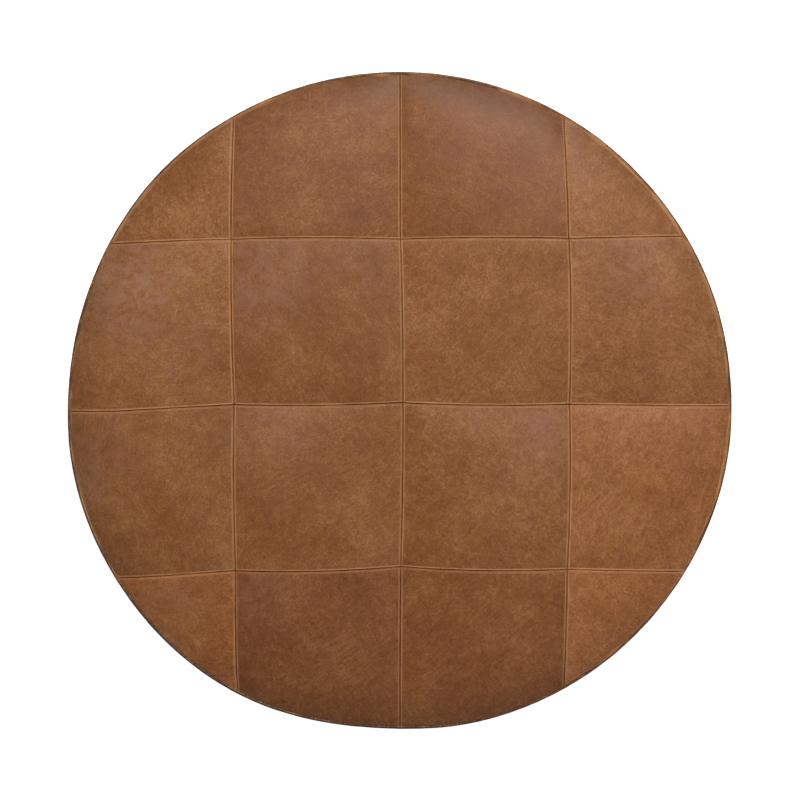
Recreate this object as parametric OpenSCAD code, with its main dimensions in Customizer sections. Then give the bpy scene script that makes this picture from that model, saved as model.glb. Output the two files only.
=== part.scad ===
// Round boxed pouf: a patchwork leather cover with a zip, over a foam block.
// Millimetres, +Z up, origin on the floor under the middle. The front is -Y.

/* [Overall] */
// Diameter over the fullest part of the side band
pouf_d = 1000; // [700:10:1200]
// Height from the floor to the middle of the top
pouf_h = 400; // [300:5:500]
// Swell of the side band at mid height
side_bulge = 5.4; // [2:0.2:12]
// Fall of the top from its middle to the shoulder
top_crown = 8; // [0:0.5:16]
// Further fall over the rolled shoulder
top_roll = 14; // [8:0.5:18]

/* [Leather cover] */
// Thickness of the leather
leather_t = 1.4; // [1:0.1:1.6]
// Hairline between neighbouring pieces of leather
seam_gap = 0.4; // [0.3:0.1:0.8]
// Width of the turned-under seam allowances
allowance = 8; // [5:1:12]
// Thickness of an allowance
allowance_t = 1.2; // [0.6:0.1:1.2]

/* [Piping] */
// Outer radius of the leather piping
piping_r = 2.75; // [2.5:0.05:3]
// Radius of the cord in the piping
cord_r = 1.85; // [1.4:0.05:2]
// Height of the base piping's middle
base_piping_z = 3.05; // [2.8:0.05:3.4]

/* [Zip] */
// Height of the zip's centre line
zip_z = 28; // [24:1:34]
// Half height of the opening in the leather
zip_half_opening = 8; // [7:0.5:9]
// Half width of the closed chain
chain_half = 3.6; // [3:0.1:3.8]
// Half gap between the two rows of teeth
chain_gap = 0.5; // [0.5:0.05:0.7]
// Angle of the closed slider round the pouf
slider_at = 3; // [3:0.5:90]
// Angle of the bottom stop, where the zip is fully open
zip_open_at = 175.5; // [120:0.5:176]

/* [Filling] */
// Thin wadding under the top patches
quilt_t = 4; // [3:0.5:6]
// Fibre wrap round the foam
wrap_t = 10; // [6:1:16]
// Softer foam on top of the block
soft_foam_t = 60; // [30:5:90]
// Cotton cloth of the inner case and backing
cloth_t = 0.6; // [0.5:0.1:1]

/* [Hidden] */
$fn = 180;
gap = 0.3;
half_d = pouf_d / 2;
rim_r = half_d - side_bulge;
roll_r = rim_r + 0.9;
rim_z = pouf_h - top_crown - top_roll;
side_top = rim_z - piping_r - 0.05;
side_mid = (side_top + 4.8) / 2;
side_half = side_top - side_mid;
top_edge_r = rim_r - 2.2;
foot_z = base_piping_z + piping_r + 0.4;
zip_lo = zip_z - zip_half_opening;
zip_hi = zip_z + zip_half_opening;
chain_r = half_d - 7.5;
tape_r = [chain_r - 0.4, chain_r + 0.3];
lining_d = 4;
block_d = lining_d + cloth_t + wrap_t + 2 * gap;

tan_leather = [0.54, 0.36, 0.23];
dark_leather = [0.42, 0.27, 0.16];
calico = [0.87, 0.83, 0.74];
fibre = [0.95, 0.95, 0.93];
brass_c = [0.72, 0.56, 0.28];
canvas_c = [0.27, 0.22, 0.18];

// ---- Curves of the cover ----

function back_to_front(p) = [for (i = [len(p) - 1:-1:0]) p[i]];
function band(outer, inner) = concat(outer, back_to_front(inner));

// Height of the top at a radius, and radius of the side at a height.
function top_z(r) = pouf_h - top_crown * pow(r / roll_r, 2)
    - top_roll * (1 - sqrt(max(0, 1 - pow(r / roll_r, 14))));
function side_r(z) = rim_r + side_bulge * (1 - pow((z - side_mid) / side_half, 2));

// Points across the top at a depth below it, closer together near the shoulder.
function top_line(r1, depth, n = 12) =
    [for (i = [0:n]) let (r = r1 * (1 - pow(1 - i / n, 2))) [r, top_z(r) - depth]];
// Points up the side at a depth inside it.
function side_line(z1, z2, depth, n = 12) =
    [for (i = [0:n]) let (z = z1 + (z2 - z1) * i / n) [side_r(z) - depth, z]];
// The inner case stands further in beside the zip, to clear the slider.
function tuck(z) = 3.6 * max(0, min(1, (70 - z) / 26));
inner_steps = [24, 44, 70, 100, 130, 160, 190, 220, 250, 280, 310, 330, 345];
function inner_line(z1, z2, depth) =
    [for (z = concat([z1], [for (s = inner_steps) if (s > z1 && s < z2 - 2) s], [z2]))
        [side_r(z) - depth - tuck(z), z]];

// ---- Top seams: each is nearly straight, with a hand-sewn wander ----

seam_pitch = 0.248 * pouf_d;
seam_stops = [-1.72 * seam_pitch, -seam_pitch, 0, seam_pitch, 1.72 * seam_pitch];
// Sideways shift at the stops, then the extra bow between the inner crossings.
up_seams = [[7, 3, 0, -3.5, -4, -1], [0, 1, 4.5, 0.5, 0, 1], [-2.5, 1, 5, 3, 0, 2]];
cross_seams = [[-16, -6, -1, -4, -8, -3.5], [-17, -7, -4, -6.5, -9, -2.8],
    [-13, -9, -8, -8, -1, 1.4]];

function span_of(t) = t < seam_stops[1] ? 0 : t < 0 ? 1 : t < seam_stops[3] ? 2 : 3;
function wander(w, t) =
    let (u = max(seam_stops[0], min(seam_stops[4], t)), i = span_of(u),
        s = (u - seam_stops[i]) / (seam_stops[i + 1] - seam_stops[i]),
        bow = i == 1 || i == 2 ? w[5] : 0)
    w[i] + (w[i + 1] - w[i]) * s + bow * 4 * s * (1 - s);
// Seam k of 0, 1, 2. Numbers -1 and 3 stand for lines outside the circle.
function up_x(k, y) = k < 0 ? -0.6 * pouf_d : k > 2 ? 0.6 * pouf_d
    : (k - 1) * seam_pitch + wander(up_seams[k], y);
function cross_y(k, x) = k < 0 ? -0.6 * pouf_d : k > 2 ? 0.6 * pouf_d
    : (k - 1) * seam_pitch + wander(cross_seams[k], x);

// Where an up seam and a cross seam meet, each moved aside by an inset.
function meet(u, ui, c, ci, p = [0, 0], n = 5) = n == 0 ? p
    : meet(u, ui, c, ci, [up_x(u, p[1]) + ui, cross_y(c, p[0]) + ci], n - 1);

// Outline of the patch in column c and row r, counted from the front left.
function patch_outline(c, r, e, n = 6) =
    let (bl = meet(c - 1, e, r - 1, e), br = meet(c, -e, r - 1, e),
        tr = meet(c, -e, r, -e), tl = meet(c - 1, e, r, -e))
    concat(
        [for (i = [0:n - 1]) let (x = bl[0] + (br[0] - bl[0]) * i / n) [x, cross_y(r - 1, x) + e]],
        [for (i = [0:n - 1]) let (y = br[1] + (tr[1] - br[1]) * i / n) [up_x(c, y) - e, y]],
        [for (i = [0:n - 1]) let (x = tr[0] + (tl[0] - tr[0]) * i / n) [x, cross_y(r, x) - e]],
        [for (i = [0:n - 1]) let (y = tl[1] + (bl[1] - tl[1]) * i / n) [up_x(c - 1, y) + e, y]]
    );

module top_layer(r1, d1, d2) {
    rotate_extrude() polygon(band(top_line(r1, d2), top_line(r1, d1)));
}

module top_patch(c, r) {
    color(tan_leather) {
        intersection() {
            top_layer(top_edge_r, 0, leather_t);
            translate([0, 0, rim_z - 20])
                linear_extrude(height = 60) polygon(patch_outline(c, r, seam_gap / 2));
        }
        intersection() {
            top_layer(top_edge_r, leather_t / 2, leather_t + allowance_t);
            translate([0, 0, rim_z - 20]) linear_extrude(height = 60) difference() {
                polygon(patch_outline(c, r, seam_gap / 2));
                polygon(patch_outline(c, r, allowance));
            }
        }
    }
}

// ---- Side seams: one at each end of the top's seams ----

function rim_angle(i) =
    i == 0 ? asin(cross_y(1, roll_r) / roll_r) :
    i == 1 ? asin(cross_y(2, roll_r) / roll_r) :
    i == 2 ? acos(up_x(2, roll_r) / roll_r) :
    i == 3 ? acos(up_x(1, roll_r) / roll_r) :
    i == 4 ? acos(up_x(0, roll_r) / roll_r) :
    i == 5 ? 180 - asin(cross_y(2, -roll_r) / roll_r) :
    i == 6 ? 180 - asin(cross_y(1, -roll_r) / roll_r) :
    i == 7 ? 180 - asin(cross_y(0, -roll_r) / roll_r) :
    i == 8 ? 360 - acos(up_x(0, -roll_r) / roll_r) :
    i == 9 ? 360 - acos(up_x(1, -roll_r) / roll_r) :
    i == 10 ? 360 - acos(up_x(2, -roll_r) / roll_r) :
    i == 11 ? 360 + asin(cross_y(0, roll_r) / roll_r) :
    360 + rim_angle(0);
seam_a = [for (i = [0:12]) rim_angle(i)];
function arc_deg(mm) = mm / half_d * 180 / PI;

module sweep(a1, a2) {
    rotate([0, 0, a1]) rotate_extrude(angle = a2 - a1) children();
}

// Panels 1 to 6 stop above the zip, and 7 to 12 reach the base piping.
module side_panel(k) {
    a1 = seam_a[k - 1] + arc_deg(seam_gap / 2);
    a2 = seam_a[k] - arc_deg(seam_gap / 2);
    z1 = k <= 6 ? zip_hi : foot_z;
    hem_z = k <= 6 ? zip_hi : zip_z;
    fold = band(side_line(hem_z, side_top - 10, leather_t + allowance_t),
        side_line(hem_z, side_top - 10, leather_t / 2));
    color(tan_leather) {
        sweep(a1, a2)
            polygon(band(side_line(z1, side_top, leather_t), side_line(z1, side_top, 0)));
        sweep(a1, a1 + arc_deg(allowance)) polygon(fold);
        sweep(a2 - arc_deg(allowance), a2) polygon(fold);
        if (k <= 6)
            sweep(a1, a2) polygon(band(side_line(zip_hi, zip_hi + 10, leather_t + allowance_t, 1),
                side_line(zip_hi, zip_hi + 10, leather_t / 2, 1)));
    }
}

module piping(z, flange) {
    rotate_extrude() difference() {
        union() {
            translate([rim_r + 0.8, z]) circle(r = piping_r, $fn = 32);
            polygon(flange);
        }
        translate([rim_r + 0.8, z]) circle(r = cord_r + 0.2, $fn = 32);
    }
}

module cord_ring(z) {
    rotate_extrude() translate([rim_r + 0.8, z]) circle(r = cord_r, $fn = 24);
}

module foot_strip(a1, a2) {
    r = side_r((foot_z + zip_lo) / 2);
    color(tan_leather) sweep(a1, a2) polygon([
        [r - leather_t, foot_z], [r, foot_z], [r, zip_lo], [r - leather_t - 0.65, zip_lo],
        [r - leather_t - 0.65, zip_lo - 5.5], [r - leather_t, zip_lo - 5.5]
    ]);
}

// ---- Zip ----

// Half of the chain, above the centre line: teeth clamped on the edge of the tape.
module teeth_row(a1, a2, bulk = 0) {
    sweep(a1, a2) polygon([
        [chain_r - 1.5 - bulk, chain_gap], [chain_r + 1.5 + bulk, chain_gap],
        [chain_r + 1.5 + bulk, chain_half + bulk], [tape_r[1] + 0.2, chain_half + bulk],
        [tape_r[1] + 0.2, chain_gap + 1.1], [tape_r[0] - 0.2, chain_gap + 1.1],
        [tape_r[0] - 0.2, chain_half + bulk], [chain_r - 1.5 - bulk, chain_half + bulk]
    ]);
}

module zip_upper() {
    translate([0, 0, zip_z]) children();
}

module zip_lower() {
    translate([0, 0, zip_z]) mirror([0, 0, 1]) children();
}

// A flat shape seen from outside the pouf, as a bar along the radius.
module radial_bar() {
    translate([chain_r - 10, 0, 0]) rotate([90, 0, 90]) linear_extrude(height = 20) children();
}

module slider_ring(r1, r2) {
    sweep(-2, 2) polygon([[r1, -7], [r2, -7], [r2, 7], [r1, 7]]);
}

slider_shape = [[-8, -5], [-6.8, -5.6], [-2, -5.6], [8, -4.9], [8, 4.9], [-2, 5.6], [-6.8, 5.6], [-8, 5]];
slider_channel = [[-9, -4.4], [-2, -4.2], [9, -4.05], [9, 4.05], [-2, 4.2], [-9, 4.4]];
pivot_r = chain_r + 4.25;

module slider_body() {
    // Outer and inner plates
    intersection() {
        slider_ring(chain_r + 1.9, chain_r + 3.2);
        radial_bar() polygon(slider_shape);
    }
    intersection() {
        slider_ring(chain_r - 3.3, chain_r - 2);
        radial_bar() polygon(slider_shape);
    }
    // Flanges that hold the chain
    intersection() {
        slider_ring(chain_r + 0.8, chain_r + 2.2);
        radial_bar() difference() {
            polygon(slider_shape);
            polygon(slider_channel);
        }
    }
    intersection() {
        slider_ring(chain_r - 2.2, chain_r - 0.9);
        radial_bar() difference() {
            polygon(slider_shape);
            polygon(slider_channel);
        }
    }
    // Post between the rows
    translate([chain_r - 2.2, -7, -0.2]) cube([4.3, 4, 0.4]);
    // Bridge for the pull
    translate([0, 0, -1.5]) linear_extrude(height = 3) polygon([
        [chain_r + 2.5, -5.5], [chain_r + 5.2, -5.3], [chain_r + 6.3, -4], [chain_r + 6.3, 4],
        [chain_r + 5.2, 5.3], [chain_r + 2.5, 5.5], [chain_r + 2.5, 4.1], [chain_r + 4.8, 3.8],
        [chain_r + 5.3, 3.2], [chain_r + 5.3, -3.2], [chain_r + 4.8, -3.8], [chain_r + 2.5, -4.1]
    ]);
}

// The pull lies along the zip, with its crossbar through the bridge.
module pull_body() {
    translate([pivot_r, 0, -3.6]) cylinder(r = 0.7, h = 7.2, $fn = 32);
    for (s = [-1, 1])
        translate([pivot_r - 0.7, 0, s > 0 ? 1.9 : -3.6]) cube([1.4, 8, 1.7]);
    intersection() {
        translate([pivot_r - 0.7, 7, -4]) cube([1.4, 17, 8]);
        difference() {
            radial_bar() union() {
                translate([7, -3.6]) square([3, 7.2]);
                translate([9, -4]) square([12.5, 8]);
                translate([21.4, -2.5]) square([2.6, 5]);
                translate([21.5, 2.5]) circle(r = 1.5, $fn = 32);
                translate([21.5, -2.5]) circle(r = 1.5, $fn = 32);
            }
            radial_bar() translate([19.5, -2.6]) square([2, 5.2]);
        }
    }
}

module thong_body() {
    translate([pivot_r, 0, -2.4]) linear_extrude(height = 4.8) difference() {
        polygon([
            [-1.9, 20], [-1.6, 19.7], [1.6, 19.7], [1.9, 20], [1.9, 25], [1.3, 29], [1.3, 51.5],
            [1, 52], [-1, 52], [-1.3, 51.5], [-1.3, 29], [-1.9, 25]
        ]);
        polygon([[-0.9, 21.3], [0.9, 21.3], [0.9, 24.3], [0.3, 25.4], [-0.3, 25.4], [-0.9, 24.3]]);
    }
}

module end_tab(a) {
    r1 = side_r(zip_lo - 7) + 0.45;
    r2 = side_r(zip_hi + 5) + 0.3;
    color(tan_leather) sweep(a - arc_deg(15), a + arc_deg(15)) polygon([
        [r1, zip_lo - 4], [r1 + leather_t - 0.1, zip_lo - 4],
        [r2 + leather_t - 0.1, zip_hi + 5], [r2, zip_hi + 5]
    ]);
}

// ---- Nodes ----

module top_patch_a1() { top_patch(0, 3); }
module top_patch_a2() { top_patch(1, 3); }
module top_patch_a3() { top_patch(2, 3); }
module top_patch_a4() { top_patch(3, 3); }
module top_patch_b1() { top_patch(0, 2); }
module top_patch_b2() { top_patch(1, 2); }
module top_patch_b3() { top_patch(2, 2); }
module top_patch_b4() { top_patch(3, 2); }
module top_patch_c1() { top_patch(0, 1); }
module top_patch_c2() { top_patch(1, 1); }
module top_patch_c3() { top_patch(2, 1); }
module top_patch_c4() { top_patch(3, 1); }
module top_patch_d1() { top_patch(0, 0); }
module top_patch_d2() { top_patch(1, 0); }
module top_patch_d3() { top_patch(2, 0); }
module top_patch_d4() { top_patch(3, 0); }

module side_panel_01() { side_panel(1); }
module side_panel_02() { side_panel(2); }
module side_panel_03() { side_panel(3); }
module side_panel_04() { side_panel(4); }
module side_panel_05() { side_panel(5); }
module side_panel_06() { side_panel(6); }
module side_panel_07() { side_panel(7); }
module side_panel_08() { side_panel(8); }
module side_panel_09() { side_panel(9); }
module side_panel_10() { side_panel(10); }
module side_panel_11() { side_panel(11); }
module side_panel_12() { side_panel(12); }

module top_piping() {
    color(dark_leather) piping(rim_z, [
        [rim_r - 3.2, rim_z - 12], [rim_r - 1.8, rim_z - 12], [rim_r - 1.8, rim_z - 2.8],
        [rim_r - 0.6, rim_z - 1.4], [rim_r - 0.6, rim_z + 1], [rim_r - 1.7, rim_z + 1],
        [rim_r - 3.2, rim_z - 1.5]
    ]);
}
module top_piping_cord() { color(fibre) cord_ring(rim_z); }
module base_piping() {
    color(dark_leather) piping(base_piping_z, [
        [rim_r - 3, 2], [rim_r - 0.8, 2], [rim_r - 0.8, 4.5],
        [rim_r - 1.5, foot_z], [rim_r - 1.5, 14], [rim_r - 3, 14]
    ]);
}
module base_piping_cord() { color(fibre) cord_ring(base_piping_z); }

module foot_strip_right() { foot_strip(seam_a[0] + 0.03, 90 - 0.03); }
module foot_strip_left() { foot_strip(90 + 0.03, seam_a[6] - 0.03); }
module base_panel() {
    color(canvas_c) rotate_extrude() polygon([
        [0, 0], [rim_r - 3.3, 0], [rim_r - 3.3, 12], [rim_r - 4.5, 12], [rim_r - 4.5, 1.5], [0, 1.5]
    ]);
}

quilt_top = leather_t + allowance_t + gap;
quilt_under = quilt_top + quilt_t + gap;
liner_depth = quilt_under + cloth_t + gap;
wrap_depth = liner_depth + cloth_t + gap;
foam_depth = wrap_depth + wrap_t + gap;
foam_split = pouf_h - foam_depth - soft_foam_t;
module quilt_wadding() {
    color(fibre) top_layer(rim_r - 8.6, quilt_top, quilt_top + quilt_t);
}
module quilt_backing() { color(calico) top_layer(rim_r - 6.6, quilt_under, quilt_under + cloth_t); }
module liner_top() { color(calico) top_layer(rim_r - 6.6, liner_depth, liner_depth + cloth_t); }
module liner_side() {
    color(calico) rotate_extrude() polygon(band(
        inner_line(2.7, side_top - 2.5, lining_d + cloth_t), inner_line(2.7, side_top - 2.5, lining_d)));
}
module liner_base() {
    color(calico) rotate_extrude() polygon([
        [0, 1.8], [rim_r - 7.6, 1.8], [rim_r - 7.6, 1.8 + cloth_t], [0, 1.8 + cloth_t]
    ]);
}
module wadding_top() { color(fibre) top_layer(rim_r - 6.8, wrap_depth, wrap_depth + wrap_t); }
module wadding_side() {
    color(fibre) rotate_extrude() polygon(band(
        inner_line(2.7, side_top - 13.5, block_d - gap), inner_line(2.7, side_top - 13.5, block_d - gap - wrap_t)));
}
module foam_top() {
    line = [for (p = top_line(rim_r - 18, foam_depth)) if (p[1] > foam_split) p];
    color([0.93, 0.89, 0.72]) rotate_extrude() polygon(concat(
        [[0, foam_split + gap], [side_r(foam_split) - block_d, foam_split + gap]],
        [[side_r(foam_split + 30) - block_d, foam_split + 30]], back_to_front(line)));
}
module foam_core() {
    color([0.9, 0.83, 0.6]) rotate_extrude() polygon(concat(
        [[0, 2.7]], inner_line(2.7, foam_split, block_d), [[0, foam_split]]));
}

zip_from = seam_a[0] - arc_deg(18);
zip_to = seam_a[6] + arc_deg(18);
module zip_tape_upper() {
    color(canvas_c) zip_upper() sweep(zip_from, zip_to) polygon([
        [tape_r[0], chain_gap + 1.3], [tape_r[1], chain_gap + 1.3], [tape_r[1], 24], [tape_r[0], 24]
    ]);
}
module zip_tape_lower() {
    color(canvas_c) zip_lower() sweep(zip_from, zip_to) polygon([
        [tape_r[0], chain_gap + 1.3], [tape_r[1], chain_gap + 1.3], [tape_r[1], 13.6], [tape_r[0], 13.6]
    ]);
}
module zip_teeth_upper() { color(brass_c) zip_upper() teeth_row(1.85, zip_open_at - 0.25); }
module zip_teeth_lower() { color(brass_c) zip_lower() teeth_row(1.85, zip_open_at - 0.25); }
module zip_top_stop_upper() { color(brass_c) zip_upper() teeth_row(1.4, 1.8, 0.25); }
module zip_top_stop_lower() { color(brass_c) zip_lower() teeth_row(1.4, 1.8, 0.25); }
module zip_bottom_stop() {
    a = zip_open_at - 0.2;
    color(brass_c) {
        zip_upper() teeth_row(a, a + 0.45, 0.25);
        zip_lower() teeth_row(a, a + 0.45, 0.25);
        zip_upper() sweep(a, a + 0.45) polygon([
            [chain_r - 1.75, -0.7], [chain_r + 1.75, -0.7], [chain_r + 1.75, 0.7], [chain_r - 1.75, 0.7]
        ]);
    }
}
module zip_slider() { color(brass_c) zip_upper() rotate([0, 0, slider_at]) slider_body(); }
module zip_pull() { color(brass_c) zip_upper() rotate([0, 0, slider_at]) pull_body(); }
module pull_thong() { color(dark_leather) zip_upper() rotate([0, 0, slider_at]) thong_body(); }
module zip_end_tab_right() { end_tab(seam_a[0]); }
module zip_end_tab_left() { end_tab(seam_a[6]); }

top_patch_a1();
top_patch_a2();
top_patch_a3();
top_patch_a4();
top_patch_b1();
top_patch_b2();
top_patch_b3();
top_patch_b4();
top_patch_c1();
top_patch_c2();
top_patch_c3();
top_patch_c4();
top_patch_d1();
top_patch_d2();
top_patch_d3();
top_patch_d4();
side_panel_01();
side_panel_02();
side_panel_03();
side_panel_04();
side_panel_05();
side_panel_06();
side_panel_07();
side_panel_08();
side_panel_09();
side_panel_10();
side_panel_11();
side_panel_12();
top_piping();
top_piping_cord();
base_piping();
base_piping_cord();
foot_strip_right();
foot_strip_left();
base_panel();
quilt_wadding();
quilt_backing();
liner_top();
liner_side();
liner_base();
wadding_top();
wadding_side();
foam_top();
foam_core();
zip_tape_upper();
zip_tape_lower();
zip_teeth_upper();
zip_teeth_lower();
zip_top_stop_upper();
zip_top_stop_lower();
zip_bottom_stop();
zip_slider();
zip_pull();
pull_thong();
zip_end_tab_right();
zip_end_tab_left();
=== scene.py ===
"""Looks of the round patchwork leather pouf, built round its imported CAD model.

Shapes are worked out in millimetres and scaled to metres when a mesh is made.
"""

import math

import bmesh
import bpy
import numpy as np
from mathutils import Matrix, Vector


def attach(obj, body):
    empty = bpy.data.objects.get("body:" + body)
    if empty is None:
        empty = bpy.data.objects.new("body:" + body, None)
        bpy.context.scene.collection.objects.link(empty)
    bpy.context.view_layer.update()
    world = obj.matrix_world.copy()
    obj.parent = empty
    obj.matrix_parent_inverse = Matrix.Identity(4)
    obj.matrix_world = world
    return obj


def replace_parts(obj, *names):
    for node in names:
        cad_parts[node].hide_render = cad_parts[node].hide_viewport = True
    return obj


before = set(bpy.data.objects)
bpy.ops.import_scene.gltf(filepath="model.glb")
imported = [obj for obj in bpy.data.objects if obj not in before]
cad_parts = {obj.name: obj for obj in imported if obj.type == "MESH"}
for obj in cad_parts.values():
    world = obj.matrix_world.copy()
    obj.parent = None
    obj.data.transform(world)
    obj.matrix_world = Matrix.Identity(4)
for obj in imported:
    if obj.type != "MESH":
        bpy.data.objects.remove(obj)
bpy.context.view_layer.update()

MM = 0.001

# ---- Sizes of the cover, as in the CAD source, in millimetres ----

POUF_D, POUF_H = 1000.0, 400.0
BULGE, CROWN, ROLL = 5.4, 8.0, 14.0
LEATHER = 1.4
HALF_GAP = 0.03  # between a patch or panel and the middle of its seam
STITCH_OFF, HEM_STITCH = 2.6, 4.2  # of a stitch row from its seam, and from a folded edge
PIPING_R, CORD_R = 2.75, 1.85
BASE_PIPING_Z = 3.05
ZIP_Z, ZIP_HALF = 28.0, 8.0
SLIDER_AT, ZIP_OPEN_AT = 3.0, 175.5

RIM_R = POUF_D / 2 - BULGE
ROLL_R = RIM_R + 0.9
RIM_Z = POUF_H - CROWN - ROLL
SIDE_TOP = RIM_Z - PIPING_R - 0.05
SIDE_MID = (SIDE_TOP + 4.8) / 2
SIDE_HALF = SIDE_TOP - SIDE_MID
TOP_EDGE_R = RIM_R - 1.2
WELT_R = RIM_R + 0.8
FOOT_Z = BASE_PIPING_Z + PIPING_R + 0.4
ZIP_LO, ZIP_HI = ZIP_Z - ZIP_HALF, ZIP_Z + ZIP_HALF
CHAIN_R = POUF_D / 2 - 7.5
# Where lengths round the side, the piping and foot, the inner case, and the tape are counted
SIDE_R, PIPING_ARC_R, CASE_ARC_R, TAPE_ARC_R = 497.0, 495.0, 493.0, 492.0

PITCH = 0.248 * POUF_D
STOPS = np.array([-1.72, -1, 0, 1, 1.72]) * PITCH
# Wander of each seam at the stops, then its bow between the inner crossings
UP_SEAMS = ((7, 3, 0, -3.5, -4, -1), (0, 1, 4.5, 0.5, 0, 1), (-2.5, 1, 5, 3, 0, 2))
CROSS_SEAMS = ((-16, -6, -1, -4, -8, -3.5), (-17, -7, -4, -6.5, -9, -2.8), (-13, -9, -8, -8, -1, 1.4))


# ---- Small maths ----


def smooth(a, b, x):
    """Rises smoothly from 0 at a to 1 at b."""
    t = np.clip((x - a) / (b - a), 0, 1)
    return t * t * (3 - 2 * t)


def bell(x, width):
    return np.exp(-((x / width) ** 2))


def lattice(i, j, seed):
    """A fixed value from -1 to 1 for each pair of whole numbers."""
    h = np.sin(i * 127.1 + j * 311.7 + seed * 74.7) * 43758.5453
    return (h - np.floor(h)) * 2 - 1


def noise(x, y, seed=0):
    """Smooth noise from -1 to 1 over the plane, with bumps about one unit apart."""
    i, j = np.floor(x), np.floor(y)
    u, v = x - i, y - j
    u, v = u * u * (3 - 2 * u), v * v * (3 - 2 * v)
    low = lattice(i, j, seed) * (1 - u) + lattice(i + 1, j, seed) * u
    high = lattice(i, j + 1, seed) * (1 - u) + lattice(i + 1, j + 1, seed) * u
    return low * (1 - v) + high * v


def round_mm(degrees):
    """Length round the side."""
    return np.radians(degrees) * SIDE_R


def round_degrees(mm):
    return np.degrees(mm / SIDE_R)


# ---- Curves of the cover ----


def wander(seam, t):
    """How far a seam strays sideways at a place along it."""
    s = np.abs(t) / PITCH
    bow = np.where(s < 1, seam[5] * 4 * s * (1 - s), 0)
    return np.interp(t, STOPS, seam[:5]) + bow


def up_x(k, y):
    return (k - 1) * PITCH + wander(UP_SEAMS[k], y)


def cross_y(k, x):
    return (k - 1) * PITCH + wander(CROSS_SEAMS[k], x)


def crossing(u, c):
    """Where up seam u and cross seam c meet."""
    x, y = 0.0, 0.0
    for _ in range(6):
        x, y = float(up_x(u, y)), float(cross_y(c, x))
    return x, y


CROSSINGS = [crossing(u, c) for u in range(3) for c in range(3)]


def rim_angles():
    """Angles of the 12 side seams, counter-clockwise from the right, in degrees."""
    asin = lambda v: math.degrees(math.asin(v / ROLL_R))
    right = [asin(cross_y(k, ROLL_R)) for k in (1, 2)]
    back = [90 - asin(up_x(k, ROLL_R)) for k in (2, 1, 0)]
    left = [180 - asin(cross_y(k, -ROLL_R)) for k in (2, 1, 0)]
    front = [270 + asin(up_x(k, -ROLL_R)) for k in (0, 1, 2)]
    return right + back + left + front + [360 + asin(cross_y(0, ROLL_R)), 360 + right[0]]


SEAM_A = rim_angles()

# The stuffed cover isn't quite round: angle, and push in or out at the rim
OUT_OF_ROUND = np.array((
    (0, 0), (20, -1), (40, -3.6), (60, -3.8), (80, -4.8), (100, -4.7), (120, -3.2), (135, 0), (160, -1.8),
    (178, 0), (190, 5), (205, 6.3), (230, 8), (241, 7), (250, 3), (260, -2.3), (269, -5), (280, -0.6),
    (300, 1.3), (320, 2.2), (350, 2.8),
)).T  # fmt: skip


def round_off(p):
    """Moves points of the cover a little in or out, most at the rim, as the stuffing does."""
    p = np.asarray(p, float)
    angle = np.degrees(np.arctan2(p[..., 1], p[..., 0]))
    r = np.hypot(p[..., 0], p[..., 1])
    push = sum(np.interp(angle + near, *OUT_OF_ROUND, period=360) for near in (-5, -2.5, 0, 2.5, 5)) / 5
    push = push * smooth(330, 490, r) * smooth(60, 330, p[..., 2])
    scale = 1 + push / np.maximum(r, 1)
    return np.stack([p[..., 0] * scale, p[..., 1] * scale, p[..., 2]], -1)


def plain_top(r):
    """Height of the top without its pillows: a low crown that rolls over at the rim."""
    roll = 1 - np.sqrt(np.maximum(0, 1 - (r / ROLL_R) ** 14))
    return POUF_H - CROWN * (r / ROLL_R) ** 2 - ROLL * roll


def side_r(z):
    """Radius of the side without its seams."""
    return RIM_R + BULGE * (1 - ((z - SIDE_MID) / SIDE_HALF) ** 2)


def seam_profile(d):
    """Height across a seam with a row of stitching each side, by distance from its middle."""
    return -1.2 * bell(d, 0.5) + 0.45 * bell(d - 1.3, 0.8) - 0.3 * bell(d - STITCH_OFF, 0.5)


def seam_distances(x, y):
    """For the up seams and then the cross seams: distance, place along the seam, and number."""
    up = [(np.abs(x - up_x(k, y)), y, k) for k in range(3)]
    return up + [(np.abs(y - cross_y(k, x)), x, k + 3) for k in range(3)]


def puckers(d, along, seed):
    """Short folds that the stitches pull in beside a seam."""
    fold = noise(along / 11, np.zeros_like(along), seed) * 0.5 * bell(d, 16)
    return fold + noise(along / 24, d / 30, seed + 9) * 0.7 * bell(d, 34)


def rim_rise(r, reach):
    """Near 0 at the rim and 1 a few reaches in from it."""
    return 1 - np.exp(-np.maximum(ROLL_R - r, 0) / reach)


# ---- Stuffed top: how far the leather rises between its seams ----

CLOTH_STEP, CLOTH_FRAMES = 10.0, 30
CLOTH_HALF = int(ROLL_R / CLOTH_STEP) + 1


def shift(seams, u, along):
    """How far the seams' wander moves a place that lies at u on a square plan."""
    s = u / PITCH
    share = (np.clip(-s, 0, 1), np.clip(1 - np.abs(s), 0, 1), np.clip(s, 0, 1))
    return sum(w * wander(seam, along) for w, seam in zip(share, seams))


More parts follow.
